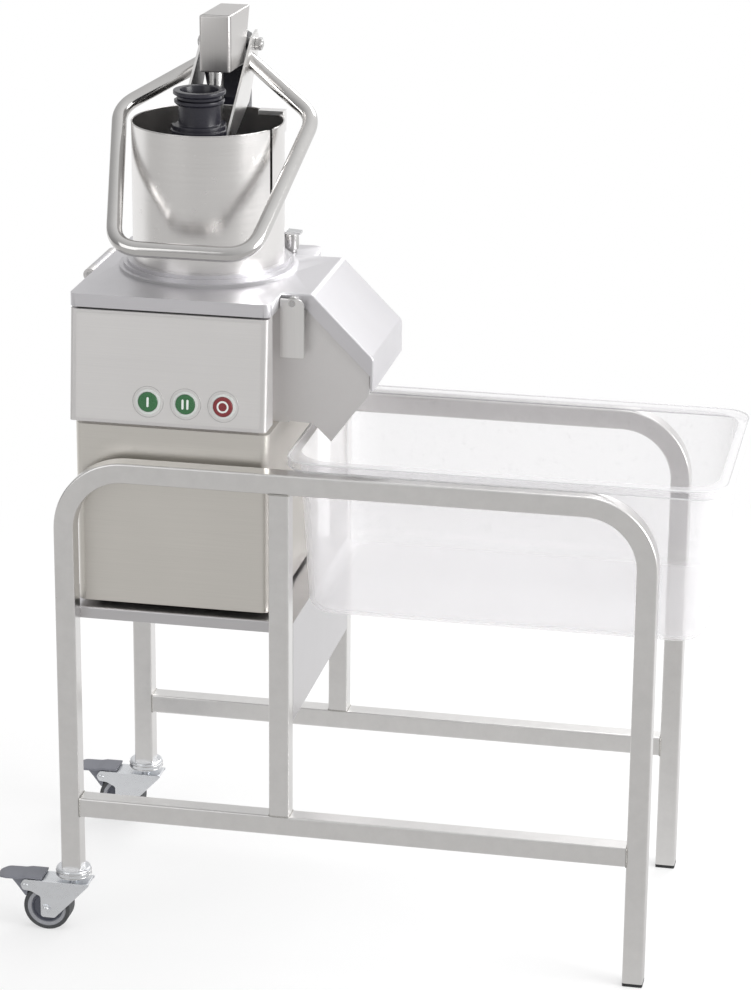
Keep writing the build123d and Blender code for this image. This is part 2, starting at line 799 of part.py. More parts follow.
# Lid: a cast plate with the raised seat of the hopper and the chute hood in one piece
lid_left = machine_x - lid_width / 2
lid_right = machine_x + lid_width / 2
lid_front = panel_top_y - lid_overhang + 3
lid_back = base_back - lid_overhang
hood_start = lid_right - 6
hinge_x = lid_left - hinge_radius - hinge_gap
hinge_z = lid_bottom + lid_thickness / 2 - 1
lid_knuckle = 2 * hinge_span - hinge_knuckle - 2 * hinge_gap
slope_x = lid_right + hood_flat
nose_x = slope_x + hood_run
slope_z = lid_top - hood_run
nose_z = slope_z - hood_nose
skirt_sum = slope_x + lid_top - hood_skirt
roof_sum = slope_x + lid_top - hood_roof * sqrt(2)
hood_inside_x = nose_x - hood_roof
lid_roof = lid_top - hood_roof
with BuildPart() as lid:
    with BuildSketch(Plane.XZ.offset(-hood_back)):
        with BuildLine():
            Polyline(
                (hood_start, lid_top),
                (slope_x, lid_top),
                (nose_x, slope_z),
                (nose_x, nose_z),
                (hood_inside_x, nose_z),
                (hood_inside_x, skirt_sum - hood_inside_x),
                (skirt_sum - lid_bottom, lid_bottom),
                (hood_start, lid_bottom),
                close=True,
            )
        make_face()
    extrude(amount=hood_back - hood_front)
    fillet([e for e in lid.edges().filter_by(Axis.Y)
            if abs(e.center().X - slope_x) < 0.1 or abs(e.center().X - nose_x) < 0.1 and e.center().Z > nose_z + 1],
           hood_crease)
    fillet(lid.edges().filter_by(
        lambda e: e.center().Y < hood_front + 0.1 and e.center().X > slope_x - 5
        and (e.center().X + e.center().Z > slope_x + lid_top - 9)), hood_edge)
    with BuildSketch(Plane(origin=(0, 0, lid_bottom))):
        with BuildLine():
            Polyline((lid_left, lid_front), (lid_right, lid_front), (lid_right, lid_back), (lid_left, lid_back),
                     close=True)
        make_face()
        fillet(vertices(), lid_corner)
    extrude(amount=lid_thickness)
    with BuildSketch(Plane(origin=(hopper_x, hopper_y, lid_top))):
        Circle(ring_radius + 5)
        with Locations((0, (lid_back - hopper_y) / 2)):
            Rectangle(column_width + 8, lid_back - hopper_y)
    extrude(amount=boss_height)
    with BuildSketch(Plane.XZ.offset(-hinge_y - lid_knuckle / 2)):
        with Locations((hinge_x, hinge_z)):
            Circle(hinge_radius)
        with Locations(((hinge_x + lid_left + 3) / 2, hinge_z)):
            Rectangle(lid_left + 3 - hinge_x, hinge_radius)
        with Locations((hinge_x, hinge_z)):
            Circle(hinge_pin_radius + running_fit, mode=Mode.SUBTRACT)
    extrude(amount=lid_knuckle)
    with BuildSketch(Plane.XZ.offset(-passage_back)):
        with BuildLine():
            Polyline(
                (hopper_x, lid_bottom - 1),
                (hopper_x, lid_roof),
                (roof_sum - lid_roof, lid_roof),
                (hood_inside_x, roof_sum - hood_inside_x),
                (hood_inside_x, nose_z - 1),
                (hood_inside_x - 40, nose_z - 1),
                close=True,
            )
        make_face()
    extrude(amount=passage_back - passage_front, mode=Mode.SUBTRACT)
    with BuildSketch(Plane.XZ.offset(-hood_back + hood_skirt_wall)):
        with BuildLine():
            Polyline(
                (lid_right + 1, lid_bottom - 1),
                (lid_right + 1, lid_roof),
                (roof_sum - lid_roof, lid_roof),
                (hood_inside_x, roof_sum - hood_inside_x),
                (hood_inside_x, nose_z - 1),
                (hood_inside_x - 40, nose_z - 1),
                close=True,
            )
        make_face()
    extrude(amount=hood_back - hood_front - 2 * hood_skirt_wall, mode=Mode.SUBTRACT)
    with BuildSketch(Plane(origin=(hopper_x, hopper_y, lid_bottom))):
        Circle(bowl_radius)
    extrude(amount=lid_thickness - hood_roof, mode=Mode.SUBTRACT)
    with BuildSketch(Plane(origin=(hopper_x, hopper_y, lid_bottom))):
        Circle(hopper_radius - hopper_wall)
    extrude(amount=lid_thickness + boss_height, mode=Mode.SUBTRACT)
save(lid, "lid")

# Discharge chute: two side plates and a sloping floor, covered by the hood, with the latch's magnet post
latch_x = lid_right + 16
latch_pin_z = lid_bottom + 7
latch_back = hood_front - latch_standoff
magnet_z = latch_pin_z - latch_length + 20
plate_top = lid_bottom - 4
plate_sum = roof_sum - 6
plate_end = hood_inside_x - 2
plate_profile = [
    (neck_right, chute_low),
    (neck_right + 30, chute_low - 2),
    (machine_x + chute_tip_x, chute_tip_z),
    (plate_end, nose_z - 6),
    (plate_end, plate_sum - plate_end),
    (plate_sum - plate_top, plate_top),
    (neck_right, plate_top),
]
with BuildPart() as discharge_chute:
    for wall_y in (chute_front, passage_back):
        with BuildSketch(Plane.XZ.offset(-wall_y - chute_wall)):
            with BuildLine():
                Polyline(*plate_profile, close=True)
            make_face()
        extrude(amount=chute_wall)
    floor_end_x = machine_x + chute_tip_x - chute_wall
    with BuildSketch(Plane.XZ.offset(-passage_back)):
        with BuildLine():
            Polyline(
                (neck_right, floor_sum - neck_right),
                (floor_end_x, floor_sum - floor_end_x),
                (floor_end_x, floor_sum - floor_end_x - chute_wall * sqrt(2)),
                (neck_right, floor_sum - neck_right - chute_wall * sqrt(2)),
                close=True,
            )
        make_face()
    extrude(amount=passage_back - passage_front)
    with BuildSketch(Plane.XZ.offset(-chute_front)):
        with Locations((latch_x, magnet_z)):
            Circle(magnet_radius)
    extrude(amount=chute_front - latch_back - magnet_gap)
save(discharge_chute, "discharge_chute")

# Lid latch: a plate on a pin, held shut against the chute's magnet post
with BuildPart() as latch_pin:
    with BuildSketch(Plane.XZ.offset(-hood_front)):
        with Locations((latch_x, latch_pin_z)):
            Circle(latch_pin_radius)
    extrude(amount=latch_standoff + latch_thickness + 0.5)
    with BuildSketch(Plane.XZ.offset(-hood_front)):
        with Locations((latch_x, latch_pin_z)):
            Circle(latch_pin_radius + 3)
    extrude(amount=latch_standoff - 0.3)
save(latch_pin, "latch_pin")

with BuildPart() as lid_latch:
    with BuildSketch(Plane.XZ.offset(-latch_back)):
        with Locations((latch_x, latch_pin_z + 5 - latch_length / 2)):
            Rectangle(latch_width, latch_length)
        fillet(vertices().group_by(Axis.Y)[-1].sort_by(Axis.X)[-1], 8)
        fillet(vertices().group_by(Axis.Y)[0], 2)
        with Locations((latch_x, latch_pin_z)):
            Circle(latch_pin_radius + running_fit, mode=Mode.SUBTRACT)
    extrude(amount=latch_thickness)
save(lid_latch, "lid_latch")

# Lid hinge on the left side: two knuckles on the housing, one on the lid, one pin through all
with BuildPart() as housing_hinge:
    for knuckle_y in (hinge_y - hinge_span, hinge_y + hinge_span):
        with BuildSketch(Plane.XZ.offset(-knuckle_y - hinge_knuckle / 2)):
            with Locations((hinge_x, hinge_z)):
                Circle(hinge_radius)
            with BuildLine():
                Polyline(
                    (housing_left, housing_top - 36),
                    (hinge_x - hinge_radius, hinge_z),
                    (hinge_x + 2, hinge_z),
                    (housing_left, housing_top - 6),
                    close=True,
                )
            make_face()
            with Locations((hinge_x, hinge_z)):
                Circle(hinge_pin_radius, mode=Mode.SUBTRACT)
        extrude(amount=hinge_knuckle)
save(housing_hinge, "housing_hinge")

pin_half = hinge_span + hinge_knuckle / 2 + 2
with BuildPart() as lid_hinge_pin:
    with BuildSketch(Plane.XZ.offset(-hinge_y - pin_half)):
        with Locations((hinge_x, hinge_z)):
            Circle(hinge_pin_radius)
    extrude(amount=2 * pin_half)
    chamfer(lid_hinge_pin.edges().filter_by(GeomType.CIRCLE), 0.8)
save(lid_hinge_pin, "lid_hinge_pin")

# Hopper: a rolled cylinder with a sight slot, clamped by a stepped ring on the lid
hopper_seat = Plane(origin=(hopper_x, hopper_y, boss_top))
with BuildPart() as hopper:
    with BuildSketch(hopper_seat):
        Circle(hopper_radius)
        Circle(hopper_radius - hopper_wall, mode=Mode.SUBTRACT)
    extrude(amount=hopper_top - boss_top)
    with BuildSketch(Plane(origin=(hopper_x, hopper_y, hopper_top))):
        with Locations(Rot(0, 0, slot_angle)):
            with Locations((hopper_radius, 0)):
                Rectangle(4 * hopper_wall + 8, slot_width)
    extrude(amount=-slot_length, mode=Mode.SUBTRACT)
save(hopper, "hopper")

with BuildPart() as hopper_ring:
    with BuildSketch(hopper_seat):
        Circle(ring_radius)
    extrude(amount=ring_step)
    with BuildSketch(hopper_seat):
        Circle(ring_radius - ring_step)
    extrude(amount=ring_height)
    with BuildSketch(hopper_seat):
        Circle(hopper_radius)
    extrude(amount=ring_height, mode=Mode.SUBTRACT)
save(hopper_ring, "hopper_ring")

# Stop clip folded over the hopper's rim
with BuildPart() as hopper_clip:
    with BuildSketch(Plane(origin=(hopper_x, hopper_y, hopper_top))):
        with Locations((clip_x, clip_y)):
            Rectangle(clip_length, clip_width)
    extrude(amount=clip_height)
    with BuildSketch(Plane(origin=(hopper_x, hopper_y, hopper_top))):
        with Locations((clip_x + clip_length / 2 - clip_sheet / 2, clip_y + 2)):
            Rectangle(clip_sheet, clip_width - 4)
    extrude(amount=-clip_drop)
    fillet(hopper_clip.edges().filter_by(Axis.Z).filter_by(lambda e: e.center().Z > hopper_top), 1.5)
save(hopper_clip, "hopper_clip")

# Clamp knob and the strap from it to the column
knob_x = hopper_x + knob_offset_x
with BuildPart() as clamp_knob:
    with BuildSketch(Plane(origin=(knob_x, knob_y, lid_top))):
        Circle(knob_radius - 4)
    extrude(amount=knob_base)
    with BuildSketch(Plane(origin=(knob_x, knob_y, lid_top + knob_base))):
        Circle(knob_radius)
        with PolarLocations(knob_radius + 0.6, knob_grooves):
            Circle(1.3, mode=Mode.SUBTRACT)
    extrude(amount=knob_height)
save(clamp_knob, "clamp_knob")

strap_z = lid_top + knob_base + knob_height
column_right = hopper_x + column_width / 2
with BuildPart() as clamp_strap:
    with BuildSketch(Plane.XZ.offset(-column_back)):
        with BuildLine():
            Polyline(
                (knob_x + knob_radius + 3, strap_z),
                (knob_x + knob_radius + 3, strap_z + strap_sheet),
                (knob_x - 6, strap_z + strap_sheet),
                (column_right, strap_z + strap_rise + strap_sheet),
                (column_right, strap_z + strap_rise - 3),
                (knob_x - 6, strap_z),
                close=True,
            )
        make_face()
    extrude(amount=column_back - knob_y + knob_radius)
    with BuildSketch():
        with BuildLine():
            Polyline(
                (knob_x + knob_radius + 3, knob_y - 7),
                (knob_x + knob_radius + 3, knob_y + 7),
                (column_right, column_front + 4),
                (column_right, column_front - 10),
                (knob_x - 8, knob_y - 7),
                close=True,
            )
        make_face()
    extrude(amount=hopper_top, mode=Mode.INTERSECT)
save(clamp_strap, "clamp_strap")

# Column behind the hopper that carries the head block and the lever's pivot
block_top = block_bottom + block_height
block_slant = (block_back_top_y - block_back_low_y) / block_height
shoulder_z = pivot_z + 22
with BuildPart() as head_column:
    with BuildSketch(Plane.YZ.offset(hopper_x - column_width / 2)):
        with BuildLine():
            Polyline(
                (column_front, boss_top),
                (column_front, column_bend_z),
                (block_back_low_y, block_bottom - 11),
                (block_back_low_y, block_bottom),
                (block_back_low_y + block_slant * (shoulder_z - block_bottom), shoulder_z),
                (pivot_y + 4, pivot_z + lever_boss_radius - 2),
                (column_back, pivot_z),
                (column_back, boss_top),
                close=True,
            )
        make_face()
        with Locations((pivot_y, pivot_z)):
            Circle(lever_boss_radius - 1)
            Circle(pivot_pin_radius, mode=Mode.SUBTRACT)
    extrude(amount=column_width)
save(head_column, "head_column")

with BuildPart() as head_block:
    with BuildSketch(Plane(origin=(hopper_x, 0, block_bottom))):
        with BuildLine():
            Polyline(
                (-block_front_width / 2, block_front_y),
                (block_front_width / 2, block_front_y),
                (block_back_width / 2, block_back_top_y),
                (-block_back_width / 2, block_back_top_y),
                close=True,
            )
        make_face()
    extrude(amount=block_height)
    with BuildSketch(Plane.YZ.offset(hopper_x - block_back_width)):
        with BuildLine():
            Polyline(
                (block_front_y, block_bottom),
                (block_back_low_y, block_bottom),
                (block_back_top_y, block_top),
                (block_front_y, block_top),
                close=True,
            )
        make_face()
    extrude(amount=2 * block_back_width, mode=Mode.INTERSECT)
    fillet(head_block.faces().sort_by(Axis.Y)[0].edges().filter_by(Axis.Z), block_edge)
    fillet(head_block.faces().sort_by(Axis.Z)[-1].edges(), block_edge / 2)
save(head_block, "head_block")

# Guide rod under the block keeps the pusher plate from turning
with BuildPart() as guide_rod:
    with BuildSketch(Plane(origin=(hopper_x, rod_y, lid_bottom + 6))):
        Circle(rod_diameter / 2)
    extrude(amount=block_bottom - lid_bottom - 6)
    chamfer(guide_rod.edges().sort_by(Axis.Z)[0], 1)
save(guide_rod, "guide_rod")

# Pivot bolt with a shoulder on each side of the column
plate_outside = lever_inside + lever_plate
with BuildPart() as pivot_bolt:
    with BuildSketch(Plane(origin=(hopper_x, pivot_y, pivot_z), x_dir=(0, 1, 0), z_dir=(1, 0, 0))):
        Circle(pivot_pin_radius)
    extrude(amount=plate_outside + side_gap, both=True)
    for start, length in ((column_width / 2, lever_inside - side_gap - column_width / 2),
                          (plate_outside + side_gap, bolt_head)):
        for way in (-1, 1):
            with BuildSketch(Plane(origin=(hopper_x + way * start, pivot_y, pivot_z), x_dir=(0, 1, 0),
                                   z_dir=(way, 0, 0))):
                Circle(pivot_pin_radius + 3)
            extrude(amount=length)
save(pivot_bolt, "pivot_bolt")

# Lever: two cut plates on the pivot, slotted for the pusher's yoke pins, with the bent handle tube
yoke_y = tube_y
lever_angle = degrees(atan2(pivot_z - yoke_z, pivot_y - yoke_y))
yoke_reach = hypot(pivot_z - yoke_z, pivot_y - yoke_y)
slot_near = pivot_y - yoke_y - 2
slot_far = yoke_reach + 2
lever_x_dir = (0, -cos(radians(lever_angle)), -sin(radians(lever_angle)))
with BuildPart() as lever_plates:
    for plate_x in (-plate_outside, lever_inside):
        with BuildSketch(Plane(origin=(hopper_x + plate_x, pivot_y, pivot_z), x_dir=lever_x_dir, z_dir=(1, 0, 0))):
            with BuildLine():
                Polyline(
                    (-lever_boss_radius, -10),
                    (9, -lever_crown),
                    (yoke_reach - 25, -10),
                    (yoke_reach + 12, -3),
                    (yoke_reach + 8, lever_foot),
                    (yoke_reach - 38, lever_foot + 1),
                    (66, lever_belly),
                    (0, lever_boss_radius),
                    close=True,
                )
            make_face()
            Circle(lever_boss_radius)
            Circle(pivot_pin_radius + running_fit, mode=Mode.SUBTRACT)
            with Locations(((slot_near + slot_far) / 2, yoke_drop)):
                SlotCenterToCenter(slot_far - slot_near, yoke_slot, mode=Mode.SUBTRACT)
        extrude(amount=lever_plate)
save(lever_plates, "lever_plates")

handle_start = Plane(
    origin=(hopper_x, handle_start_y, handle_start_z),
    x_dir=(1, 0, 0),
    z_dir=(0, -sin(radians(handle_slope)), cos(radians(handle_slope))),
)
bend_from = plate_outside - handle_tube / 2
with BuildPart() as handle_loop:
    with BuildLine(handle_start) as handle_path:
        FilletPolyline(
            (-bend_from, handle_root),
            (-handle_top_half, -handle_shoulder),
            (-handle_foot_half, -handle_shoulder - handle_side),
            (handle_foot_half, -handle_shoulder - handle_side),
            (handle_top_half, -handle_shoulder),
            (bend_from, handle_root),
            radius=handle_bend,
        )
    with BuildSketch(Plane(origin=handle_path.line @ 0, z_dir=handle_path.line % 0)):
        Circle(handle_tube / 2)
        Circle(handle_tube / 2 - handle_wall, mode=Mode.SUBTRACT)
    sweep()
    with BuildSketch(Plane(origin=(hopper_x, handle_start_y, 0))):
        Rectangle(2 * plate_outside, 4 * handle_tube)
    extrude(amount=2 * block_top, mode=Mode.SUBTRACT)
save(handle_loop, "handle_loop")

# Pusher: the plate that fills the hopper, its feed tube and the yoke band
with BuildPart() as pusher_plate:
    with BuildSketch(Plane(origin=(hopper_x, hopper_y, lid_bottom + plate_gap))):
        Circle(hopper_radius - hopper_wall - plate_clearance)
        with Locations((0, tube_y - hopper_y)):
            Circle(tube_outer_radius, mode=Mode.SUBTRACT)
        with Locations((0, rod_y - hopper_y)):
            Circle(rod_diameter / 2 + running_fit, mode=Mode.SUBTRACT)
    extrude(amount=plate_thickness)
save(pusher_plate, "pusher_plate")

with BuildPart() as feed_tube:
    with BuildSketch(Plane(origin=(hopper_x, tube_y, lid_bottom + plate_gap))):
        Circle(tube_outer_radius)
    extrude(amount=tube_top - lid_bottom - plate_gap)
    with BuildSketch(Plane(origin=(hopper_x, tube_y, tube_top))):
        Circle(tube_rim_radius)
    extrude(amount=-tube_rim_height)
    with BuildSketch(Plane(origin=(hopper_x, tube_y, collar_z))):
        Circle(collar_radius)
        for way in (-1, 1):
            with Locations((way * (lever_inside - side_gap + collar_radius / 2), collar_radius / 2 - 4)):
                Rectangle(collar_radius, collar_radius, mode=Mode.SUBTRACT)
    extrude(amount=collar_height)
    with BuildSketch(Plane(origin=(hopper_x, tube_y, lid_bottom + plate_gap))):
        Circle(tube_bore_radius)
    extrude(amount=tube_top, mode=Mode.SUBTRACT)
save(feed_tube, "feed_tube")

with BuildPart() as yoke_band:
    with BuildSketch(Plane(origin=(hopper_x, tube_y, yoke_z - band_height / 2))):
        Circle(lever_inside - band_gap)
    extrude(amount=band_height)
    with BuildSketch(Plane(origin=(hopper_x, tube_y, yoke_z), x_dir=(0, 1, 0), z_dir=(1, 0, 0))):
        Circle(yoke_pin_radius)
    extrude(amount=plate_outside + side_gap, both=True)
    for way in (-1, 1):
        with BuildSketch(Plane(origin=(hopper_x + way * (plate_outside + side_gap), tube_y, yoke_z),
                               x_dir=(0, 1, 0), z_dir=(way, 0, 0))):
            Circle(yoke_slot / 2 + 1.5)
        extrude(amount=yoke_head)
    with BuildSketch(Plane(origin=(hopper_x, tube_y, yoke_z - band_height))):
        Circle(tube_outer_radius)
    extrude(amount=2 * band_height, mode=Mode.SUBTRACT)
save(yoke_band, "yoke_band")

with BuildPart() as small_pusher:
    with BuildSketch(Plane(origin=(hopper_x, tube_y, tube_top + small_neck_height + small_flange_height))):
        Circle(small_flange_radius)
    extrude(amount=-small_flange_height)
    with BuildSketch(Plane(origin=(hopper_x, tube_y, tube_top))):
        Circle(tube_outer_radius)
    extrude(amount=small_neck_height)
    small_bottom = tube_top + small_neck_height + small_flange_height - small_pusher_length
    with BuildSketch(Plane(origin=(hopper_x, tube_y, small_bottom))):
        Circle(tube_bore_radius - small_pusher_clearance)
    extrude(amount=tube_top - small_bottom)
    with BuildSketch(Plane(origin=(hopper_x, tube_y, small_bottom + small_floor))):
        Circle(tube_bore_radius - small_pusher_clearance - small_wall)
    extrude(amount=small_pusher_length, mode=Mode.SUBTRACT)
save(small_pusher, "small_pusher")
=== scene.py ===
import math
import bmesh
import bpy
import numpy as np
from mathutils import Matrix, Vector


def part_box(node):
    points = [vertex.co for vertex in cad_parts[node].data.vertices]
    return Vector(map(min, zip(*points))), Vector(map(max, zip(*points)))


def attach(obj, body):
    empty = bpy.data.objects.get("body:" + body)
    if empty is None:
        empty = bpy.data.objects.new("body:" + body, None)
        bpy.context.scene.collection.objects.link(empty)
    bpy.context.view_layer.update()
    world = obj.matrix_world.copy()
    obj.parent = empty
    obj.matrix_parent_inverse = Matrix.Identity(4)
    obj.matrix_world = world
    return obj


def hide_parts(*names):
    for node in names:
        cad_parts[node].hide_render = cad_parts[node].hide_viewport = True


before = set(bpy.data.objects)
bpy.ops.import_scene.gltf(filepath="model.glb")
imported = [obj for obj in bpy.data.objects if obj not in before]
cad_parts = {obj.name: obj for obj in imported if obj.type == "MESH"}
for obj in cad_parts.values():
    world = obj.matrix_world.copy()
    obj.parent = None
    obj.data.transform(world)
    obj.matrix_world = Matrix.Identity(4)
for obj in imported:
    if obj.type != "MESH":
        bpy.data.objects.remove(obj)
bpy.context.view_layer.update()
print("frame loaded")

def added(name, data):
    made = bpy.data.objects.new(name, data)
    bpy.context.scene.collection.objects.link(made)
    return made


# ---- camera: the pose fitted to the photograph, with no shift
cameraSettings = {"place": (0.74734, -3.77608, 1.85512), "yaw": 11.2195, "pitch": 18.7822, "roll": -0.5019,
                  "focalPixels": 3277.88, "heightPixels": 990, "sensor": 36.0, "reach": 60}


def makeCamera(place, yaw, pitch, roll, focalPixels, heightPixels, sensor, reach):
    yaw, pitch, roll = (math.radians(angle) for angle in (yaw, pitch, roll))
    forward = Vector((-math.sin(yaw) * math.cos(pitch), math.cos(yaw) * math.cos(pitch), -math.sin(pitch)))
    side = Vector((math.cos(yaw), math.sin(yaw), 0))
    down = forward.cross(side)
    right = side * math.cos(roll) + down * math.sin(roll)
    lower = down * math.cos(roll) - side * math.sin(roll)
    data = bpy.data.cameras.new("photoCamera")
    data.sensor_fit = "VERTICAL"
    data.sensor_height = sensor
    data.lens = focalPixels * sensor / heightPixels
    data.clip_end = reach
    camera = added("photoCamera", data)
    turn = Matrix((right, -lower, -forward)).transposed().to_4x4()
    camera.matrix_world = Matrix.Translation(place) @ turn
    bpy.context.scene.camera = camera


makeCamera(**cameraSettings)
print("camera placed")


# ---- shader maths as plain expressions
class Wire:
    def __init__(self, finish, socket):
        self.finish = finish
        self.socket = socket

    def join(self, operation, *others):
        values = {index: value for index, value in enumerate((self,) + others)}
        return self.finish.node("ShaderNodeMath", {"operation": operation}, values)

    def __add__(self, other):
        return self.join("ADD", other)

    def __sub__(self, other):
        return self.join("SUBTRACT", other)

    def __rsub__(self, other):
        return self.finish.node("ShaderNodeMath", {"operation": "SUBTRACT"}, {0: other, 1: self})

    def __mul__(self, other):
        return self.join("MULTIPLY", other)

    def __pow__(self, other):
        return self.join("POWER", other)

    def above(self, edge, soft):
        limits = {1: edge - soft, 2: edge + soft, 3: 0.0, 4: 1.0}
        settings = {"interpolation_type": "SMOOTHSTEP"}
        return self.finish.node("ShaderNodeMapRange", settings, {0: self, **limits})

    __radd__ = __add__


class Finish:
    def __init__(self, name):
        self.material = bpy.data.materials.new(name)
        self.material.use_nodes = True
        self.tree = self.material.node_tree
        self.tree.nodes.clear()
        self.place = self.node("ShaderNodeTexCoord", {}, {}, "Object")

    def node(self, kind, settings, values, output=0):
        made = self.tree.nodes.new(kind)
        for key, value in settings.items():
            if key == "stops":
                ramp = made.color_ramp
                for index, (position, colour) in enumerate(value):
                    stop = ramp.elements[index] if index < 2 else ramp.elements.new(position)
                    stop.position = position
                    stop.color = (*colour, 1)
            else:
                setattr(made, key, value)
        for key, value in values.items():
            socket = made.inputs[key]
            if isinstance(value, Wire):
                self.tree.links.new(value.socket, socket)
            elif isinstance(value, tuple) and len(value) == 3 and socket.type == "RGBA":
                socket.default_value = (*value, 1)
            else:
                socket.default_value = value
        return Wire(self, made.outputs[output])

    def part(self, axis):
        return self.node("ShaderNodeSeparateXYZ", {}, {0: self.place}, axis)

    def stretch(self, scale):
        return self.node("ShaderNodeVectorMath", {"operation": "MULTIPLY"}, {0: self.place, 1: scale})

    def noise(self, scale, detail=3.0, rough=0.55, vector=None):
        values = {"Vector": vector or self.place, "Scale": scale, "Detail": detail, "Roughness": rough}
        return self.node("ShaderNodeTexNoise", {}, values, "Fac")

    def blend(self, mask, first, second):
        settings = {"data_type": "RGBA", "blend_type": "MIX"}
        return self.node("ShaderNodeMix", settings, {0: mask, 6: first, 7: second}, 2)

    def bump(self, height, strength, distance):
        values = {"Height": height, "Strength": strength, "Distance": distance}
        return self.node("ShaderNodeBump", {}, values)

    def surface(self, wire):
        end = self.tree.nodes.new("ShaderNodeOutputMaterial")
        self.tree.links.new(wire.socket, end.inputs["Surface"])
        return self.material

    def shader(self, values):
        return self.surface(self.node("ShaderNodeBsdfPrincipled", {}, values))


def toned(colour, share):
    return tuple(c * share for c in colour)


# ---- metal finishes: a grain stretched along the brushing, broad colour drift and faint handling marks
metalFinishes = {
    "trolleyTube": {"colour": (0.77, 0.76, 0.75), "rough": 0.30, "grain": (60, 60, 60), "drift": 0.06},
    "shelfSheet": {"colour": (0.62, 0.61, 0.62), "rough": 0.34, "grain": (9, 900, 900), "drift": 0.06},
    "baseSheet": {"colour": (0.73, 0.705, 0.66), "rough": 0.36, "grain": (8, 8, 900), "drift": 0.05},
    "hopperSheet": {"colour": (0.79, 0.775, 0.765), "rough": 0.25, "grain": (8, 8, 700), "drift": 0.05},
    "handleTube": {"colour": (0.62, 0.61, 0.60), "rough": 0.14, "grain": (80, 80, 80), "drift": 0.04},
    "latchSheet": {"colour": (0.83, 0.82, 0.81), "rough": 0.30, "grain": (700, 700, 10), "drift": 0.05},
    "headSheet": {"colour": (0.60, 0.585, 0.575), "rough": 0.34, "grain": (900, 900, 9), "drift": 0.07},
    "zincPlate": {"colour": (0.77, 0.785, 0.81), "rough": 0.28, "grain": (90, 90, 90), "drift": 0.08},
    "turnedSteel": {"colour": (0.56, 0.555, 0.55), "rough": 0.25, "grain": (40, 40, 900), "drift": 0.05},
    "weldSteel": {"colour": (0.46, 0.45, 0.43), "rough": 0.36, "grain": (300, 300, 300), "drift": 0.10},
}


def metal(name, colour, rough, grain, drift):
    finish = Finish(name)
    streak = finish.noise(1.0, 4.0, 0.7, finish.stretch(grain))
    cloud = finish.noise(7.0, 3.0)
    mark = finish.noise(45.0, 5.0, 0.7).above(0.66, 0.05)
    darker = toned(colour, 1 - 2 * drift)
    lighter = tuple(min(1.0, c) for c in toned(colour, 1 + 2 * drift))
    tone = finish.blend(streak * 0.6 + cloud * 0.4, darker, lighter)
    roughness = streak * 0.10 + mark * 0.05 + (rough - 0.05)
    return finish.shader({"Base Color": tone, "Metallic": 1.0, "Roughness": roughness,
                          "Normal": finish.bump(streak, 0.05, 0.0003)})


# ---- cast and painted aluminium: fine orange-peel with a little speckle
castFinishes = {
    "castHousing": {"colour": (0.67, 0.655, 0.65), "rough": 0.42},
    "castLid": {"colour": (0.63, 0.62, 0.64), "rough": 0.38},
    "castPlate": {"colour": (0.55, 0.555, 0.56), "rough": 0.40},
}


def casting(name, colour, rough):
    finish = Finish(name)
    peel = finish.noise(420.0, 3.0)
    cloud = finish.noise(9.0, 3.0)
    speck = finish.noise(900.0, 2.0)
    tone = finish.blend(cloud * 0.7 + speck * 0.3, toned(colour, 0.9), toned(colour, 1.08))
    return finish.shader({"Base Color": tone, "Metallic": 0.75, "Roughness": peel * 0.12 + (rough - 0.06),
                          "Normal": finish.bump(peel, 0.12, 0.0004)})


# ---- moulded plastics and rubber: spark-eroded grain, a little darker in the grain's hollows
plasticFinishes = {
    # charcoal plastic: the dark plastic of the feed parts, also worn by the head column as painted shade
    "charcoalPlastic": {"colour": (0.018, 0.0175, 0.026), "rough": 0.26, "grain": 1400},
    "blackPlastic": {"colour": (0.014, 0.014, 0.015), "rough": 0.45, "grain": 1200},
    "pedalPlastic": {"colour": (0.20, 0.205, 0.235), "rough": 0.50, "grain": 1500},
    "hubPlastic": {"colour": (0.085, 0.09, 0.115), "rough": 0.45, "grain": 1500},
    "blackRubber": {"colour": (0.012, 0.012, 0.012), "rough": 0.70, "grain": 1500},
    "paleRing": {"colour": (0.62, 0.64, 0.62), "rough": 0.35, "grain": 1500},
    "markWhite": {"colour": (0.74, 0.78, 0.75), "rough": 0.35, "grain": 1500},
    "greenButton": {"colour": (0.035, 0.135, 0.052), "rough": 0.28, "grain": 1600},
    "redButton": {"colour": (0.20, 0.028, 0.032), "rough": 0.28, "grain": 1600},
    "motorPaint": {"colour": (0.04, 0.042, 0.045), "rough": 0.5, "grain": 900},
}


def plastic(name, colour, rough, grain):
    finish = Finish(name)
    pits = finish.noise(float(grain), 2.0)
    cloud = finish.noise(22.0, 3.0)
    # the grain's noise sets both the bump and the tone, so its hollows come out a little darker
    tone = finish.blend(cloud * 0.6 + pits * 0.4, toned(colour, 0.88), toned(colour, 1.14))
    return finish.shader({"Base Color": tone, "Roughness": pits * 0.16 + (rough - 0.08),
                          "Normal": finish.bump(pits, 0.15, 0.0002)})


# ---- tyre: dark tread rubber around a pale moulded ring, told apart by the distance from the axle
tyreSettings = {"axle": (-0.3825, 0.030), "edge": 0.0249, "rubber": (0.052, 0.054, 0.057),
                "ring": (0.33, 0.335, 0.36), "rough": 0.62}


def wheelRubber(name, axle, edge, rubber, ring, rough):
    finish = Finish(name)
    ahead = finish.part(0) - axle[0]
    above = finish.part(2) - axle[1]
    reach = (ahead * ahead + above * above) ** 0.5
    outside = reach.above(edge, 0.0003)
    scuff = finish.noise(160.0, 5.0, 0.7)
    pits = finish.noise(1500.0, 2.0)
    dark = finish.blend(scuff, toned(rubber, 0.75), toned(rubber, 1.5))
    pale = finish.blend(scuff, toned(ring, 0.9), toned(ring, 1.08))
    tone = finish.blend(outside, pale, dark)
    return finish.shader({"Base Color": tone, "Roughness": pits * 0.14 + (rough - 0.07),
                          "Normal": finish.bump(pits, 0.2, 0.0002)})
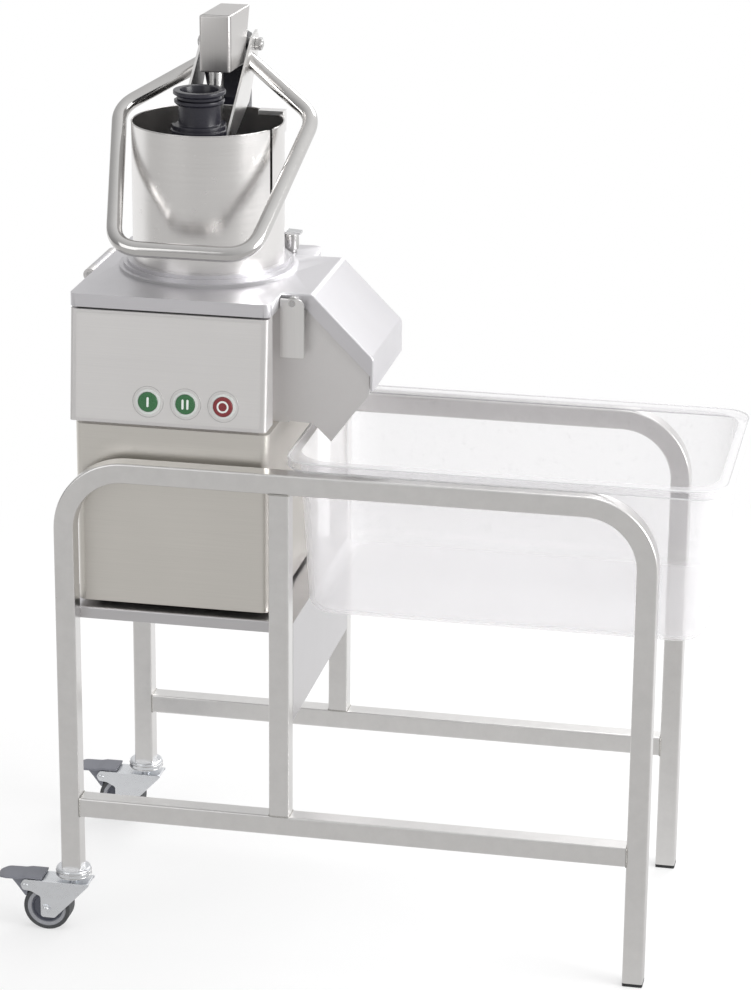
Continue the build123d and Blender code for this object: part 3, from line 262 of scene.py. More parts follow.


# ---- the clear container: thin polycarbonate with faint flow marks and scuffs, and a whiter, less clear finish on its rim beads that paints a highlight along the rim edges
clearSettings = {"colour": (0.95, 0.945, 0.95), "rough": 0.06, "clear": 0.93, "edge": 0.58,
                 "tint": (0.970, 0.967, 0.971)}
# painted highlight: the rim beads' finish is whiter and less clear than the walls
rimHighlightSettings = {"colour": (0.90, 0.90, 0.905), "rough": 0.08, "clear": 0.50, "edge": 0.45,
                 "tint": (0.95, 0.95, 0.96)}


def clearPlastic(name, colour, rough, clear, edge, tint):
    finish = Finish(name)
    scuff = finish.noise(80.0, 5.0, 0.75).above(0.62, 0.08)
    wave = finish.noise(14.0, 2.0)
    glancing = finish.node("ShaderNodeLayerWeight", {}, {"Blend": 0.30}, "Facing")
    body = finish.node("ShaderNodeBsdfPrincipled", {}, {
        "Base Color": finish.blend(wave, toned(colour, 0.95), colour),
        "Roughness": scuff * 0.12 + rough, "Normal": finish.bump(wave, 0.08, 0.001)})
    through = finish.node("ShaderNodeBsdfTransparent", {}, {"Color": tint})
    mask = clear - glancing * edge - scuff * 0.04
    return finish.surface(finish.node("ShaderNodeMixShader", {}, {0: mask, 1: body, 2: through}))


# ---- control label: silver foil with fine horizontal lines
labelSettings = {"colour": (0.71, 0.695, 0.685), "lines": (5, 5, 2600), "rough": 0.34}
# the emboss rings' foil is darker than the label's foil: painted shade along the raised rings
embossShadeSettings = {"colour": (0.50, 0.49, 0.485), "lines": (5, 5, 2600), "rough": 0.34}


def foil(name, colour, lines, rough):
    finish = Finish(name)
    line = finish.noise(1.0, 4.0, 0.75, finish.stretch(lines))
    cloud = finish.noise(6.0, 2.0)
    tone = finish.blend(line * 0.7 + cloud * 0.3, toned(colour, 0.84), toned(colour, 1.1))
    return finish.shader({"Base Color": tone, "Metallic": 0.55, "Roughness": line * 0.12 + (rough - 0.06),
                          "Normal": finish.bump(line, 0.04, 0.0002)})


finishes = {}
for kind, table in ((metal, metalFinishes), (casting, castFinishes), (plastic, plasticFinishes)):
    for finishName, settings in table.items():
        finishes[finishName] = kind(finishName, **settings)
finishes["wheelRubber"] = wheelRubber("wheelRubber", **tyreSettings)
finishes["clearWalls"] = clearPlastic("clearWalls", **clearSettings)
finishes["labelFoil"] = foil("labelFoil", **labelSettings)
finishes["embossShadeFoil"] = foil("embossShadeFoil", **embossShadeSettings)
finishes["rimPaintedHighlight"] = clearPlastic("rimPaintedHighlight", **rimHighlightSettings)
print("finishes made:", len(finishes))

# ---- which finish each CAD node wears
nodeFinishes = {
    "trolleyTube": ("front_hoop", "rear_hoop", "front_mid_post", "rear_mid_post", "front_lower_rail",
                    "rear_lower_rail"),
    "shelfSheet": ("machine_shelf", "cross_plate"),
    "baseSheet": ("base_shell", "base_plate"),
    "hopperSheet": ("hopper",),
    "handleTube": ("handle_loop",),
    "latchSheet": ("lid_latch", "lever_plates", "hopper_clip"),
    "zincPlate": ("caster_heads", "caster_fork_front", "caster_fork_rear"),
    "turnedSteel": ("base_plate_screws", "motor_bearings", "drive_shaft", "slicing_disc", "slicing_blades",
                    "disc_nut", "latch_pin", "lid_hinge_pin", "guide_rod", "pivot_bolt", "yoke_band",
                    "clamp_knob"),
    "castHousing": ("bowl_housing", "housing_hinge", "discharge_chute"),
    "castLid": ("lid", "hopper_ring"),
    "headSheet": ("head_block",),
    "castPlate": ("pusher_plate", "clamp_strap"),
    # the head column's dark plastic also paints the shade on the inner web of the bracket behind the hopper
    "charcoalPlastic": ("cable_gland", "ejector_disc", "head_column", "feed_tube", "small_pusher"),
    "blackPlastic": ("foot_caps",),
    "pedalPlastic": ("brake_pedal_front", "brake_pedal_rear"),
    "hubPlastic": ("caster_hub_front", "caster_hub_rear"),
    "wheelRubber": ("caster_tyre_front", "caster_tyre_rear"),
    "blackRubber": ("machine_feet", "shaft_seal"),
    "paleRing": ("button_bezels",),
    "greenButton": ("button_speed_one", "button_speed_two"),
    "redButton": ("button_stop",),
    "motorPaint": ("motor_case", "motor_rotor"),
    "clearWalls": ("container",),
    "labelFoil": ("control_label",),
}
for finishName, members in nodeFinishes.items():
    for member in members:
        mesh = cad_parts[member].data
        mesh.materials.clear()
        mesh.materials.append(finishes[finishName])
print("CAD nodes dressed")


# ---- surfaces for the scene's own pieces: every shape is one or more grids of points worked out as arrays
def unit(vectors):
    return vectors / np.linalg.norm(vectors, axis=-1, keepdims=True)


def merged(mesh, distance, outward=True):
    work = bmesh.new()
    work.from_mesh(mesh)
    bmesh.ops.remove_doubles(work, verts=work.verts, dist=distance)
    if outward:
        bmesh.ops.recalc_face_normals(work, faces=work.faces)
    work.to_mesh(mesh)
    work.free()


def smoothed(mesh, degrees):
    mesh.polygons.foreach_set("use_smooth", np.ones(len(mesh.polygons), dtype=bool))
    mesh.set_sharp_from_angle(angle=math.radians(degrees))


def skin(name, grids, body, finish, replaced=()):
    # rows follow the first parameter and columns go round; a grid is a ring, a tube whose end rows shrink to
    # a point, or a tube with its two end rows filled in
    points, faces, start = [], [], 0
    for grid, ending in grids:
        rows, columns = grid.shape[:2]
        index = np.arange(rows * columns).reshape(rows, columns) + start
        nearer = index if ending == "ring" else index[:-1]
        farther = np.roll(index, -1, 0) if ending == "ring" else index[1:]
        quads = np.stack((nearer, np.roll(nearer, -1, 1), np.roll(farther, -1, 1), farther), -1)
        faces += quads.reshape(-1, 4).tolist()
        if ending == "filled":
            faces += [index[0, ::-1].tolist(), index[-1].tolist()]
        points.append(grid.reshape(-1, 3))
        start += rows * columns
    mesh = bpy.data.meshes.new(name)
    mesh.from_pydata(np.concatenate(points).tolist(), [], faces)
    merged(mesh, 1e-7)
    smoothed(mesh, 42)
    piece = added(name, mesh)
    mesh.materials.append(finishes[finish])
    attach(piece, body)
    if replaced:
        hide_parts(*replaced)


def bead(path, up, wide, tall, swell=None, closed=True, sides=12, square=1.0):
    # a rounded section carried along a path: across and up components are signed powers of the cosine and
    # sine of the angle, times the half sizes; swell scales the section at each station
    step = np.roll(path, -1, 0) - np.roll(path, 1, 0) if closed else np.gradient(path, axis=0)
    along = unit(step)
    across = unit(np.cross(along, np.broadcast_to(np.asarray(up, float), path.shape)))
    raised = np.cross(across, along)
    angle = np.linspace(0, 2 * math.pi, sides, endpoint=False)
    flat = np.sign(np.cos(angle)) * np.abs(np.cos(angle)) ** square * wide
    high = np.sign(np.sin(angle)) * np.abs(np.sin(angle)) ** square * tall
    scale = np.ones(len(path)) if swell is None else swell
    offset = across[:, None] * flat[None, :, None] + raised[:, None] * high[None, :, None]
    return path[:, None] + scale[:, None, None] * offset, "ring" if closed else "filled"


def endCaps(stations, length):
    # swell that rounds both ends of an open path: a quarter circle over the first and last few stations
    place = np.minimum(np.arange(stations), np.arange(stations)[::-1]) / length
    return np.sqrt(np.clip(1 - (1 - np.clip(place, 0, 1)) ** 2, 0, 1))


def spokes(axis, angle):
    # one unit vector at right angles to the axis for each angle
    helper = np.array((0.0, 0.0, 1.0)) if abs(axis[2]) < 0.9 else np.array((1.0, 0.0, 0.0))
    first = unit(np.cross(helper, axis))
    second = np.cross(axis, first)
    return np.cos(angle)[:, None] * first + np.sin(angle)[:, None] * second


def turned(centre, axis, profile, facets=0, sides=48, ending="point"):
    # a profile of (radius, height, facet share) turned about an axis; the facet share flattens a row towards
    # a regular polygon by dividing by the cosine of the angle from the middle of its side
    axis = unit(np.asarray(axis, float))
    profile = np.asarray(profile, float)
    angle = np.linspace(0, 2 * math.pi, sides, endpoint=False)
    radius = np.repeat(profile[:, :1], sides, 1)
    if facets:
        sector = 2 * math.pi / facets
        squeeze = math.cos(sector / 2) / np.cos(angle % sector - sector / 2)
        radius = radius * (1 + profile[:, 2:3] * (squeeze[None] - 1))
    spread = radius[:, :, None] * spokes(axis, angle)[None]
    return np.asarray(centre, float) + spread + profile[:, 1][:, None, None] * axis, ending


def roundedLoop(width, depth, corner, stations=16):
    # a rounded rectangle in a plane: four quarter circles of the corner radius, joined by straight runs that
    # are filled in evenly
    turn = np.linspace(0, math.pi / 2, stations)
    centres = np.array([(1, 1), (-1, 1), (-1, -1), (1, -1)]) * (width / 2 - corner, depth / 2 - corner)
    arcs = []
    for k, middle in enumerate(centres):
        angle = turn + k * math.pi / 2
        arcs.append(middle + corner * np.stack((np.cos(angle), np.sin(angle)), 1))
    return resample(np.concatenate(arcs + [arcs[0][:1]]), stations * 10)[:-1]


def resample(points, count):
    # points spread evenly by arc length over a polyline
    run = np.concatenate(([0.0], np.cumsum(np.linalg.norm(np.diff(points, axis=0), axis=1))))
    wanted = np.linspace(0, run[-1], count)
    return np.stack([np.interp(wanted, run, points[:, k]) for k in range(points.shape[1])], 1)


def softened(corners, radius, steps=6, closed=True):
    # every corner becomes an arc: it starts and ends where the two runs touch a circle of the radius, closer
    # to the corner where a run is too short, and is a quadratic curve drawn towards the corner point
    corners = np.asarray(corners, float)
    before, after = np.roll(corners, 1, 0) - corners, np.roll(corners, -1, 0) - corners
    reach = np.minimum(np.linalg.norm(before, axis=1), np.linalg.norm(after, axis=1)) * 0.49
    inner = np.arccos(np.clip(np.sum(unit(before) * unit(after), 1), -1, 1))
    cut = np.minimum(radius / np.tan(np.clip(inner / 2, 0.05, 1.55)), reach)[:, None]
    share = np.linspace(0, 1, steps + 1)[None, :, None]
    start, end = (corners + unit(before) * cut)[:, None], (corners + unit(after) * cut)[:, None]
    arcs = start * (1 - share) ** 2 + corners[:, None] * 2 * share * (1 - share) + end * share ** 2
    if not closed:
        return np.concatenate((corners[:1], arcs[1:-1].reshape(-1, corners.shape[1]), corners[-1:]))
    return arcs.reshape(-1, corners.shape[1])


def shrunk(outline, inset):
    # each point moves inwards along the normal of the run through its two neighbours
    step = unit(np.roll(outline, -1, 0) - np.roll(outline, 1, 0))
    across, upward = outline[:, 0], outline[:, 1]
    turn = np.sum(across * np.roll(upward, -1) - upward * np.roll(across, -1))
    inward = np.stack((-step[:, 1], step[:, 0]), 1) * (1 if turn > 0 else -1)
    return outline + inward * inset


def quarterRound(edge, flat, steps=4):
    # inset and height of a rounded edge follow the sine and cosine of the angle, and one flat row before
    # them keeps the face flat to its rim
    bend = np.linspace(0, math.pi / 2, steps + 1)
    inset = np.concatenate(([edge * flat], edge * (1 - np.sin(bend))))
    return inset, np.concatenate(([0.0], edge * (1 - np.cos(bend))))


def slab(outline, place, across, upward, thick, edge):
    # an outline given a thickness along the normal of its plane, with quarter-round edges
    across, upward = np.asarray(across, float), np.asarray(upward, float)
    outward = np.cross(across, upward)
    inset, height = quarterRound(edge, 1.15)
    insets = np.concatenate((inset, inset[::-1]))
    heights = np.concatenate((height, (thick - height)[::-1]))
    rows = []
    for way, rise in zip(insets, heights):
        flat = shrunk(outline, way)
        placed = np.asarray(place, float) + flat[:, :1] * across + flat[:, 1:] * upward
        rows.append(placed + rise * outward)
    return np.stack(rows), "filled"


def lying(loop, height, x=0.0, y=0.0):
    # a flat outline laid level at a height
    return np.column_stack((loop + (x, y), np.full(len(loop), height)))


def circle(centre, axis, radius, stations=96):
    angle = np.linspace(0, 2 * math.pi, stations, endpoint=False)
    return np.asarray(centre, float) + radius * spokes(unit(np.asarray(axis, float)), angle)


# ---- polished handle: one tube bent in the lever's plane, cut flush at the outside of the two lever plates
handleSettings = {"origin": (-0.2105, 0.102, 1.059), "slope": 37.17, "radius": 0.0095, "bend": 0.040,
                  "plates": (-0.2475, -0.1825), "root": (0.023, 0.008), "shoulder": (0.1215, -0.0815),
                  "foot": (0.084, -0.2985), "sides": 40, "steps": 14}


def makeHandle(origin, slope, radius, bend, plates, root, shoulder, foot, sides, steps):
    # the path is the mirrored line of root, shoulder and foot with softened corners, and each end row slides
    # along the tube until it lies on the outside of its lever plate
    right = [foot, shoulder, root]
    left = [(-across, along) for across, along in right[::-1]]
    line = softened(left + right, bend, steps, False)
    upward = np.array((0.0, math.cos(math.radians(slope)), math.sin(math.radians(slope))))
    path = np.asarray(origin) + line[:, :1] * np.array((1.0, 0, 0)) + line[:, 1:] * upward
    for end, plate in zip((0, -1), plates):
        run = path[end] - path[1 if end == 0 else -2]
        path[end] += run * (plate - path[end, 0]) / run[0]
    normal = np.cross((1.0, 0, 0), upward)
    grid, ending = bead(path, normal, radius, radius, None, False, sides)
    for end, plate in zip((0, -1), plates):
        run = unit(path[end] - path[1 if end == 0 else -2])
        grid[end] += ((plate - grid[end, :, 0]) / run[0])[:, None] * run
    skin("handleTube", [(grid, ending)], "lever", "handleTube", ("handle_loop",))


makeHandle(**handleSettings)

# ---- head block: a casting that leans to the right towards its back, with a sloping back face
blockSettings = {"low": 1.060, "high": 1.129, "front": 0.030, "backLow": 0.094, "backHigh": 0.118,
                 "middle": -0.211, "skew": 0.057, "half": 0.019, "corner": 0.004, "edge": 0.002,
                 "flat": 1.2}


def makeBlock(low, high, front, backLow, backHigh, middle, skew, half, corner, edge, flat):
    # each level is a softened quadrilateral; its middle shifts with depth and its back moves with height
    insets, rises = quarterRound(edge, flat)
    levels = np.concatenate((low + rises, (high - rises)[::-1]))
    rows = []
    for level, inset in zip(levels, np.concatenate((insets, insets[::-1]))):
        share = (level - low) / (high - low)
        back = backLow + share * (backHigh - backLow)
        corners = []
        for y in (front, back):
            centre = middle + skew * (y - front)
            corners.append([(centre - half, y), (centre + half, y)])
        outline = softened(corners[0] + corners[1][::-1], corner, 8)
        rows.append(lying(shrunk(outline, inset), level))
    skin("headCover", [(np.stack(rows), "filled")], "lid", "headSheet", ("head_block",))


makeBlock(**blockSettings)

# ---- dark feed tube with its double collar, and the hollow small pusher that stands in it
feedSettings = {"centre": (-0.215, -0.028), "foot": 0.812, "top": 1.040, "radius": 0.0255, "bore": 0.0235,
                "rimRadius": 0.0304, "rimHeight": 0.006, "rimBevel": 0.0025, "collarFoot": 0.998,
                "collarStep": 0.006, "collars": (0.035, 0.0333), "collarHalf": 0.029, "notch": 0.004,
                "edge": 0.0008, "sides": 128}
smallSettings = {"centre": (-0.215, -0.028), "low": 0.8375, "rest": 1.0402, "top": 1.0512, "radius": 0.0231,
                 "neck": 0.0270, "flange": 0.0316, "flangeHeight": 0.0045, "flare": 0.0025, "mouth": 0.0232,
                 "mouthDepth": 0.016, "wall": 0.0025, "edge": 0.0011, "sides": 128}


def upright(name, centre, corners, edge, sides, body, finish, node):
    # an outline of radius and height with softened corners, turned about an upright axis
    piece = turned((*centre, 0), (0, 0, 1), softened(corners, edge, 4, False), 0, sides)
    skin(name, [piece], body, finish, (node,))


def makeFeedTube(centre, foot, top, radius, bore, rimRadius, rimHeight, rimBevel, collarFoot,
                 collarStep, collars, collarHalf, notch, edge, sides):
    # the wall's outline is turned about the tube's axis; behind the notch the collars are cut flat beside
    # the lever plates
    wide, narrow = collars
    collar, step = collarFoot, collarStep
    rim = top - rimHeight
    corners = [(bore, foot), (radius, foot), (radius, collar), (wide, collar), (wide, collar + step),
               (narrow, collar + step), (narrow, collar + 2 * step), (radius, collar + 2 * step),
               (radius, rim), (rimRadius - rimBevel, rim),
               (rimRadius, rim + rimBevel), (rimRadius, top), (bore, top)]
    profile = softened(corners, edge, 4)
    grid, ending = turned((*centre, 0), (0, 0, 1), profile, 0, sides, "ring")
    beside = grid[..., 0] - centre[0]
    behind = grid[..., 1] > centre[1] - notch
    grid[..., 0] = np.where(behind, np.clip(beside, -collarHalf, collarHalf), beside) + centre[0]
    skin("feedTube", [(grid, ending)], "pusher", "charcoalPlastic", ("feed_tube",))


def makeSmallPusher(centre, low, rest, top, radius, neck, flange, flangeHeight, flare, mouth,
                    mouthDepth, wall, edge, sides):
    # a cup turned about the tube's axis: outside wall, stepped neck, flange, tapering mouth and inside wall
    under = top - flangeHeight
    corners = [(0, low), (radius, low), (radius, rest), (neck, rest), (neck, under - flare),
               (flange, under), (flange, top), (mouth, top),
               (radius - wall, top - mouthDepth), (radius - wall, low + wall), (0, low + wall)]
    upright("smallPusher", centre, corners, edge, sides, "small_pusher", "charcoalPlastic", "small_pusher")


makeFeedTube(**feedSettings)
makeSmallPusher(**smallSettings)

# ---- guide rod under the head block: thicker than its solid and forward of it, so it cuts the pusher plate
rodSettings = {"centre": (-0.215, 0.054), "radius": 0.009, "high": 1.0605, "edge": 0.0006, "sides": 64}


def makeRod(centre, radius, high, edge, sides):
    # a rectangle of the radius and the height, turned about the rod's axis
    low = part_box("guide_rod")[0][2]
    corners = [(0, low), (radius, low), (radius, high), (0, high)]
    upright("guideRod", centre, corners, edge, sides, "lid", "turnedSteel", "guide_rod")


makeRod(**rodSettings)

# ---- clamp knob: a short turned head on a narrower foot
knobSettings = {"centre": (-0.131, 0.100), "low": 0.8242, "foot": 0.0072, "footHeight": 0.004,
                "radius": 0.0093, "high": 0.848, "edge": 0.0010, "sides": 64}


def makeKnob(centre, low, foot, footHeight, radius, high, edge, sides):
    # the stepped outline of foot and head, turned about the knob's axis
    step = low + footHeight
    corners = [(0, low), (foot, low), (foot, step), (radius, step), (radius, high), (0, high)]
    upright("clampKnob", centre, corners, edge, sides, "lid", "turnedSteel", "clamp_knob")


makeKnob(**knobSettings)
print("feed head shaped")

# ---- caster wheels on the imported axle, forks, and brake pedals whose hook reaches a little into the tyre
legSides = (-0.1735, 0.1735)
casterSides = tuple(zip(("front", "rear"), legSides))
wheelSettings = {"radius": 0.030, "half": 0.012, "rounding": 0.0028, "ring": 0.0248,
                 "ringSink": 0.0006, "ringStep": 0.0002, "hub": 0.0197, "hubSink": 0.0022,
                 "boss": 0.0065, "bossSlope": 0.001, "hubRim": (0.0026, 0.0016), "hubEdge": 0.0006}
wheelLow, wheelHigh = (np.array(corner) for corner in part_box("caster_tyre_front"))
wheelSettings["axle"] = tuple(((wheelLow + wheelHigh) / 2)[[0, 2]])
forkSettings = {"x": -0.3495, "plateTop": 0.0676, "half": 0.0157, "sheet": 0.0025, "edge": 0.0006,
                "roofX": (-0.4010, -0.3275), "roof": 0.0028, "roofGap": 0.001, "roofRise": 0.0004,
                "roofCorner": 0.005, "roofEdge": 0.0008, "steps": 5, "corner": 0.0045,
                "brow": ((-0.066, -0.0075), (-0.0615, 0.0), (0.023, 0.0), (0.023, -0.002)),
                "tip": (-0.0400, -0.0220), "tipZ": 0.018, "waist": 0.046,
                "nose": ((-0.0520, -0.0155), (-0.0630, -0.0145)), "axle": 0.004}
pedalSettings = {"toe": -0.4469, "tail": -0.3875, "half": 0.017, "toeRound": 0.014, "sheet": 0.0036,
                 "levelX": (-0.4469, -0.4380, -0.4155, -0.4085, -0.3875),
                 "levelZ": (0.0682, 0.0702, 0.0708, 0.0724, 0.0726), "pivotX": -0.4095,
                 "hook": ((-0.0215, 0.0695), (-0.0060, 0.0705), (0.0030, 0.0640), (0.0032, 0.0550),
                          (0.0012, 0.0435), (-0.0012, 0.0435), (-0.0105, 0.0560)),
                 "web": 0.0115, "edge": 0.0009, "corner": 0.0020, "toeWidth": 0.30, "toeThick": 0.55}


def makeWheels(radius, half, rounding, ring, ringSink, ringStep, hub, hubSink, boss, bossSlope, hubRim,
               hubEdge, axle):
    # tyre and hub are outlines of radius and half width turned about the axle
    sunk = half - ringSink
    face = sunk - hubSink
    inner, outer = hubRim
    side = [(hub, sunk), (ring, sunk), (ring + ringStep, half), (radius - rounding, half), (radius, half)]
    tyre = side + [(reach, -width) for reach, width in side[::-1]]
    cap = [(0, sunk), (boss, sunk), (boss + bossSlope, face), (hub - inner, face),
           (hub - outer, sunk), (hub, sunk)]
    core = cap + [(reach, -width) for reach, width in cap[::-1]]
    for name, y in casterSides:
        centre = (axle[0], y, axle[1])
        tread = turned(centre, (0, 1, 0), softened(tyre, rounding * 0.9, 6), 0, 96, "ring")
        skin(f"tyre.{name}", [tread], f"wheel_{name}", "wheelRubber", (f"caster_tyre_{name}",))
        middle = turned(centre, (0, 1, 0), softened(core, hubEdge, 3, False), 0, 72)
        skin(f"wheelHub.{name}", [middle], f"wheel_{name}", "hubPlastic", (f"caster_hub_{name}",))


def makeForks(fork, wheel):
    # two cheek plates with softened outlines, a roof between them and the axle
    x, top, half, sheet = fork["x"], fork["plateTop"], fork["half"], fork["sheet"]
    axleX, axleZ = wheel["axle"]
    back, front = (x + tip for tip in fork["tip"])
    cheek = [(x + ahead, top + rise) for ahead, rise in fork["brow"]]
    cheek += [(front, fork["tipZ"]), (back, fork["tipZ"]), (back, fork["waist"])]
    cheek += [(x + ahead, top + rise) for ahead, rise in fork["nose"]]
    outline = softened(cheek, fork["corner"], fork["steps"])
    near, far = fork["roofX"]
    side = half - fork["roofGap"]
    cover = softened([(near, -side), (far, -side), (far, side), (near, side)], fork["roofCorner"], 5)
    roofZ = top - fork["roof"] + fork["roofRise"]
    axle = [(0, -half), (fork["axle"], -half), (fork["axle"], half), (0, half)]
    for name, y in casterSides:
        grids = []
        for way in (-1, 1):
            place = (0, y + way * (half - sheet / 2) + sheet / 2, 0)
            grids.append(slab(outline, place, (1, 0, 0), (0, 0, 1), sheet, fork["edge"]))
        grids.append(slab(cover, (0, y, roofZ), (1, 0, 0), (0, 1, 0), fork["roof"], fork["roofEdge"]))
        grids.append(turned((axleX, y, axleZ), (0, 1, 0), axle, 0, 32))
        skin(f"fork.{name}", grids, f"caster_{name}", "zincPlate", (f"caster_fork_{name}",))


def makePedals(toe, tail, half, toeRound, sheet, levelX, levelZ, pivotX, hook, web, edge, corner, toeWidth,
               toeThick):
    # the tread plate is a flat rounded section carried from toe to tail: its half width grows as a quarter
    # ellipse over the toe's round, and its height follows a few levels; a web under it ends in the hook
    share = np.concatenate((1 - np.cos(np.linspace(0.06, math.pi / 2, 14)), np.linspace(1.2, 4.2, 22)))
    along = np.minimum(toe + share * toeRound, tail)
    along = np.concatenate((along, [tail]))
    reach = np.clip((along - toe) / toeRound, 0, 1)
    width = half * (toeWidth + (1 - toeWidth) * np.sqrt(1 - (1 - reach) ** 2))
    level = np.interp(along, levelX, levelZ)
    thick = sheet * (toeThick + (1 - toeThick) * np.sqrt(reach))
    angle = np.linspace(0, 2 * math.pi, 40, endpoint=False)
    flat = np.sign(np.cos(angle)) * np.abs(np.cos(angle)) ** 0.25
    high = np.sign(np.sin(angle)) * np.abs(np.sin(angle)) ** 0.5
    corners = [(pivotX + ahead, z) for ahead, z in hook]
    outline = softened(corners, corner, 5)
    for name, y in casterSides:
        tread = np.empty((len(along), len(angle), 3))
        tread[..., 0] = along[:, None]
        tread[..., 1] = y + width[:, None] * flat[None]
        tread[..., 2] = level[:, None] - thick[:, None] / 2 * (1 - high[None])
        place = (0, y + web, 0)
        claw = slab(outline, place, (1, 0, 0), (0, 0, 1), 2 * web, edge)
        skin(f"pedal.{name}", [(tread, "filled"), claw], f"pedal_{name}", "pedalPlastic",
             (f"brake_pedal_{name}",))


makeWheels(**wheelSettings)
makeForks(forkSettings, wheelSettings)
makePedals(**pedalSettings)
print("casters shaped")

# ---- cast lid: the solid's own skin, merged, with the long top edge of its plate rounded
lidSettings = {"left": -0.346, "front": -0.151, "back": 0.137, "top": 0.824, "corner": 0.009,
               "rounding": 0.0032, "segments": 4, "crease": 32, "stop": -0.092, "levelGap": 1e-4,
               "edgeGap": 2e-4}


def makeLid(left, front, back, top, corner, rounding, segments, crease, stop, levelGap, edgeGap):
    # an edge is rounded where both its ends lie at the plate's top level and on its rounded outline
    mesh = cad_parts["lid"].data.copy()
    mesh.name = "castLidSkin"
    merged(mesh, 1e-6, False)
    place = np.empty(len(mesh.vertices) * 3)
    mesh.vertices.foreach_get("co", place)
    place = place.reshape(-1, 3)
    ahead = place[:, 0] - left
    beside = np.minimum(place[:, 1] - front, back - place[:, 1])
    inCorner = (ahead < corner) & (beside < corner)
    fromCentre = corner - np.hypot(corner - ahead, corner - beside)
    rounded = np.where(inCorner, fromCentre, np.minimum(ahead, beside))
    onEdge = np.abs(place[:, 2] - top) < levelGap
    onEdge &= (np.abs(rounded) < edgeGap) & (place[:, 0] < stop)
    ends = np.empty(len(mesh.edges) * 2, dtype=np.int64)
    mesh.edges.foreach_get("vertices", ends)
    chosen = onEdge[ends.reshape(-1, 2)].all(1)
    weight = mesh.attributes.new("bevel_weight_edge", "FLOAT", "EDGE")
    weight.data.foreach_set("value", chosen.astype(np.float32))
    print("lid edges rounded:", int(chosen.sum()))
    smoothed(mesh, crease)
    piece = added("lidSkin", mesh)
    mesh.materials.clear()
    mesh.materials.append(finishes["castLid"])
    soft = piece.modifiers.new("edge", "BEVEL")
    soft.limit_method = "WEIGHT"
    soft.width = rounding
    soft.segments = segments
    facets = piece.modifiers.new("normals", "WEIGHTED_NORMAL")
    facets.keep_sharp = True
    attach(piece, "lid")
    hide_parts("lid")


makeLid(**lidSettings)
print("lid softened")

# ---- push buttons: raised marks I, II and O, and the faint embossed circle around each, in a darker foil that paints the shade along each ring
buttonSettings = {"top": (-0.223, -0.153, 0.806), "up": (0.0, 0.103155, 0.994665),
                  "out": (0.0, -0.994665, 0.103155), "drop": 0.107, "face": 0.0033, "label": 0.0008,
                  "left": -0.0235, "step": 0.046, "barLength": 0.0125, "barWidth": 0.0027, "barGap": 0.0060,
                  "proud": 0.0003, "ringRadius": 0.0062, "ringWidth": 0.0022, "embossRadius": 0.0188,
                  "embossWidth": 0.0009}


def buttonCentre(k, height, settings):
    # down the leaning panel from its top, along it by the button's number, and out from it by the height
    base = np.array(settings["top"]) - np.array(settings["up"]) * settings["drop"]
    along = np.array((settings["left"] + k * settings["step"], 0, 0))
    return base + along + np.array(settings["out"]) * height


def makeButtonMarks(settings):
    # the bars are short beads up the panel with rounded ends, the O and the embossed rings beads on circles
    up, out, proud = np.array(settings["up"]), np.array(settings["out"]), settings["proud"]
    for name, k, offsets, body in (("speedMarkOne", 0, (0.0,), "button_one"),
                                   ("speedMarkTwo", 1, (-0.5, 0.5), "button_two")):
        grids = []
        for offset in offsets:
            beside = np.array((offset * settings["barGap"], 0, 0))
            middle = buttonCentre(k, settings["face"], settings) + beside
            reach = np.linspace(-0.5, 0.5, 24)[:, None] * settings["barLength"]
            grids.append(bead(middle + reach * up, out, settings["barWidth"] / 2, proud, endCaps(24, 3),
                              False, 16, 0.5))
        skin(name, grids, body, "markWhite")
    ring = circle(buttonCentre(2, settings["face"], settings), out, settings["ringRadius"], 64)
    mark = bead(ring, out, settings["ringWidth"] / 2, proud, square=0.5)
    skin("stopMark", [mark], "button_off", "markWhite")
    for k, name in enumerate(("embossOne", "embossTwo", "embossStop")):
        ring = circle(buttonCentre(k, settings["label"], settings), out, settings["embossRadius"], 96)
        # darker foil on the embossed rings: painted shade
        skin(name, [bead(ring, out, settings["embossWidth"] / 2, proud)], "frame", "embossShadeFoil")


makeButtonMarks(buttonSettings)
print("button marks made")

# ---- dark strip in the gap under the lid's front, left and back edges: painted shade of that gap
gapShadeSettings = {"left": -0.3385, "right": -0.1195, "front": -0.1475, "back": 0.1325, "corner": 0.012,
                  "level": 0.807, "wide": 0.0028, "tall": 0.00095}


def makeGapShade(left, right, front, back, corner, level, wide, tall):
    # a flat bead along the front, round two quarter circles at the left, and along the back
    turn = np.linspace(0, math.pi / 2, 12)
    middle = left + corner
    near = np.stack((middle - corner * np.sin(turn), front + corner * (1 - np.cos(turn))), 1)
    far = np.stack((middle - corner * np.cos(turn), back - corner * (1 - np.sin(turn))), 1)
    line = resample(np.concatenate(([(right, front)], near, far, [(right, back)])), 160)
    strip = bead(lying(line, level), (0, 0, 1), wide, tall, endCaps(160, 2), False, 12, 0.6)
    # black rubber finish on the strip: painted shade in the gap
    skin("lidGapShade", [strip], "frame", "blackRubber")


makeGapShade(**gapShadeSettings)

# ---- rolled lip on the hopper's rim, open at the sight slot
lipSettings = {"centre": (-0.215, 0.012), "radius": 0.09225, "level": 1.005, "slot": -21.4,
               "slotWidth": 0.0095, "wide": 0.0011, "tall": 0.0009}


def makeLip(centre, radius, level, slot, slotWidth, wide, tall):
    # a bead round the rim's circle, from one side of the slot to the other
    gap = math.radians(slot)
    half = math.asin(slotWidth / 2 / radius) + wide / radius
    angle = np.linspace(gap + half, gap + 2 * math.pi - half, 240)
    path = lying(radius * np.stack((np.cos(angle), np.sin(angle)), 1), level, *centre)
    lip = bead(path, (0, 0, 1), wide, tall, endCaps(240, 2), False, 12)
    skin("hopperLip", [lip], "lid", "handleTube")


makeLip(**lipSettings)
print("gapShade and hopper lip made")

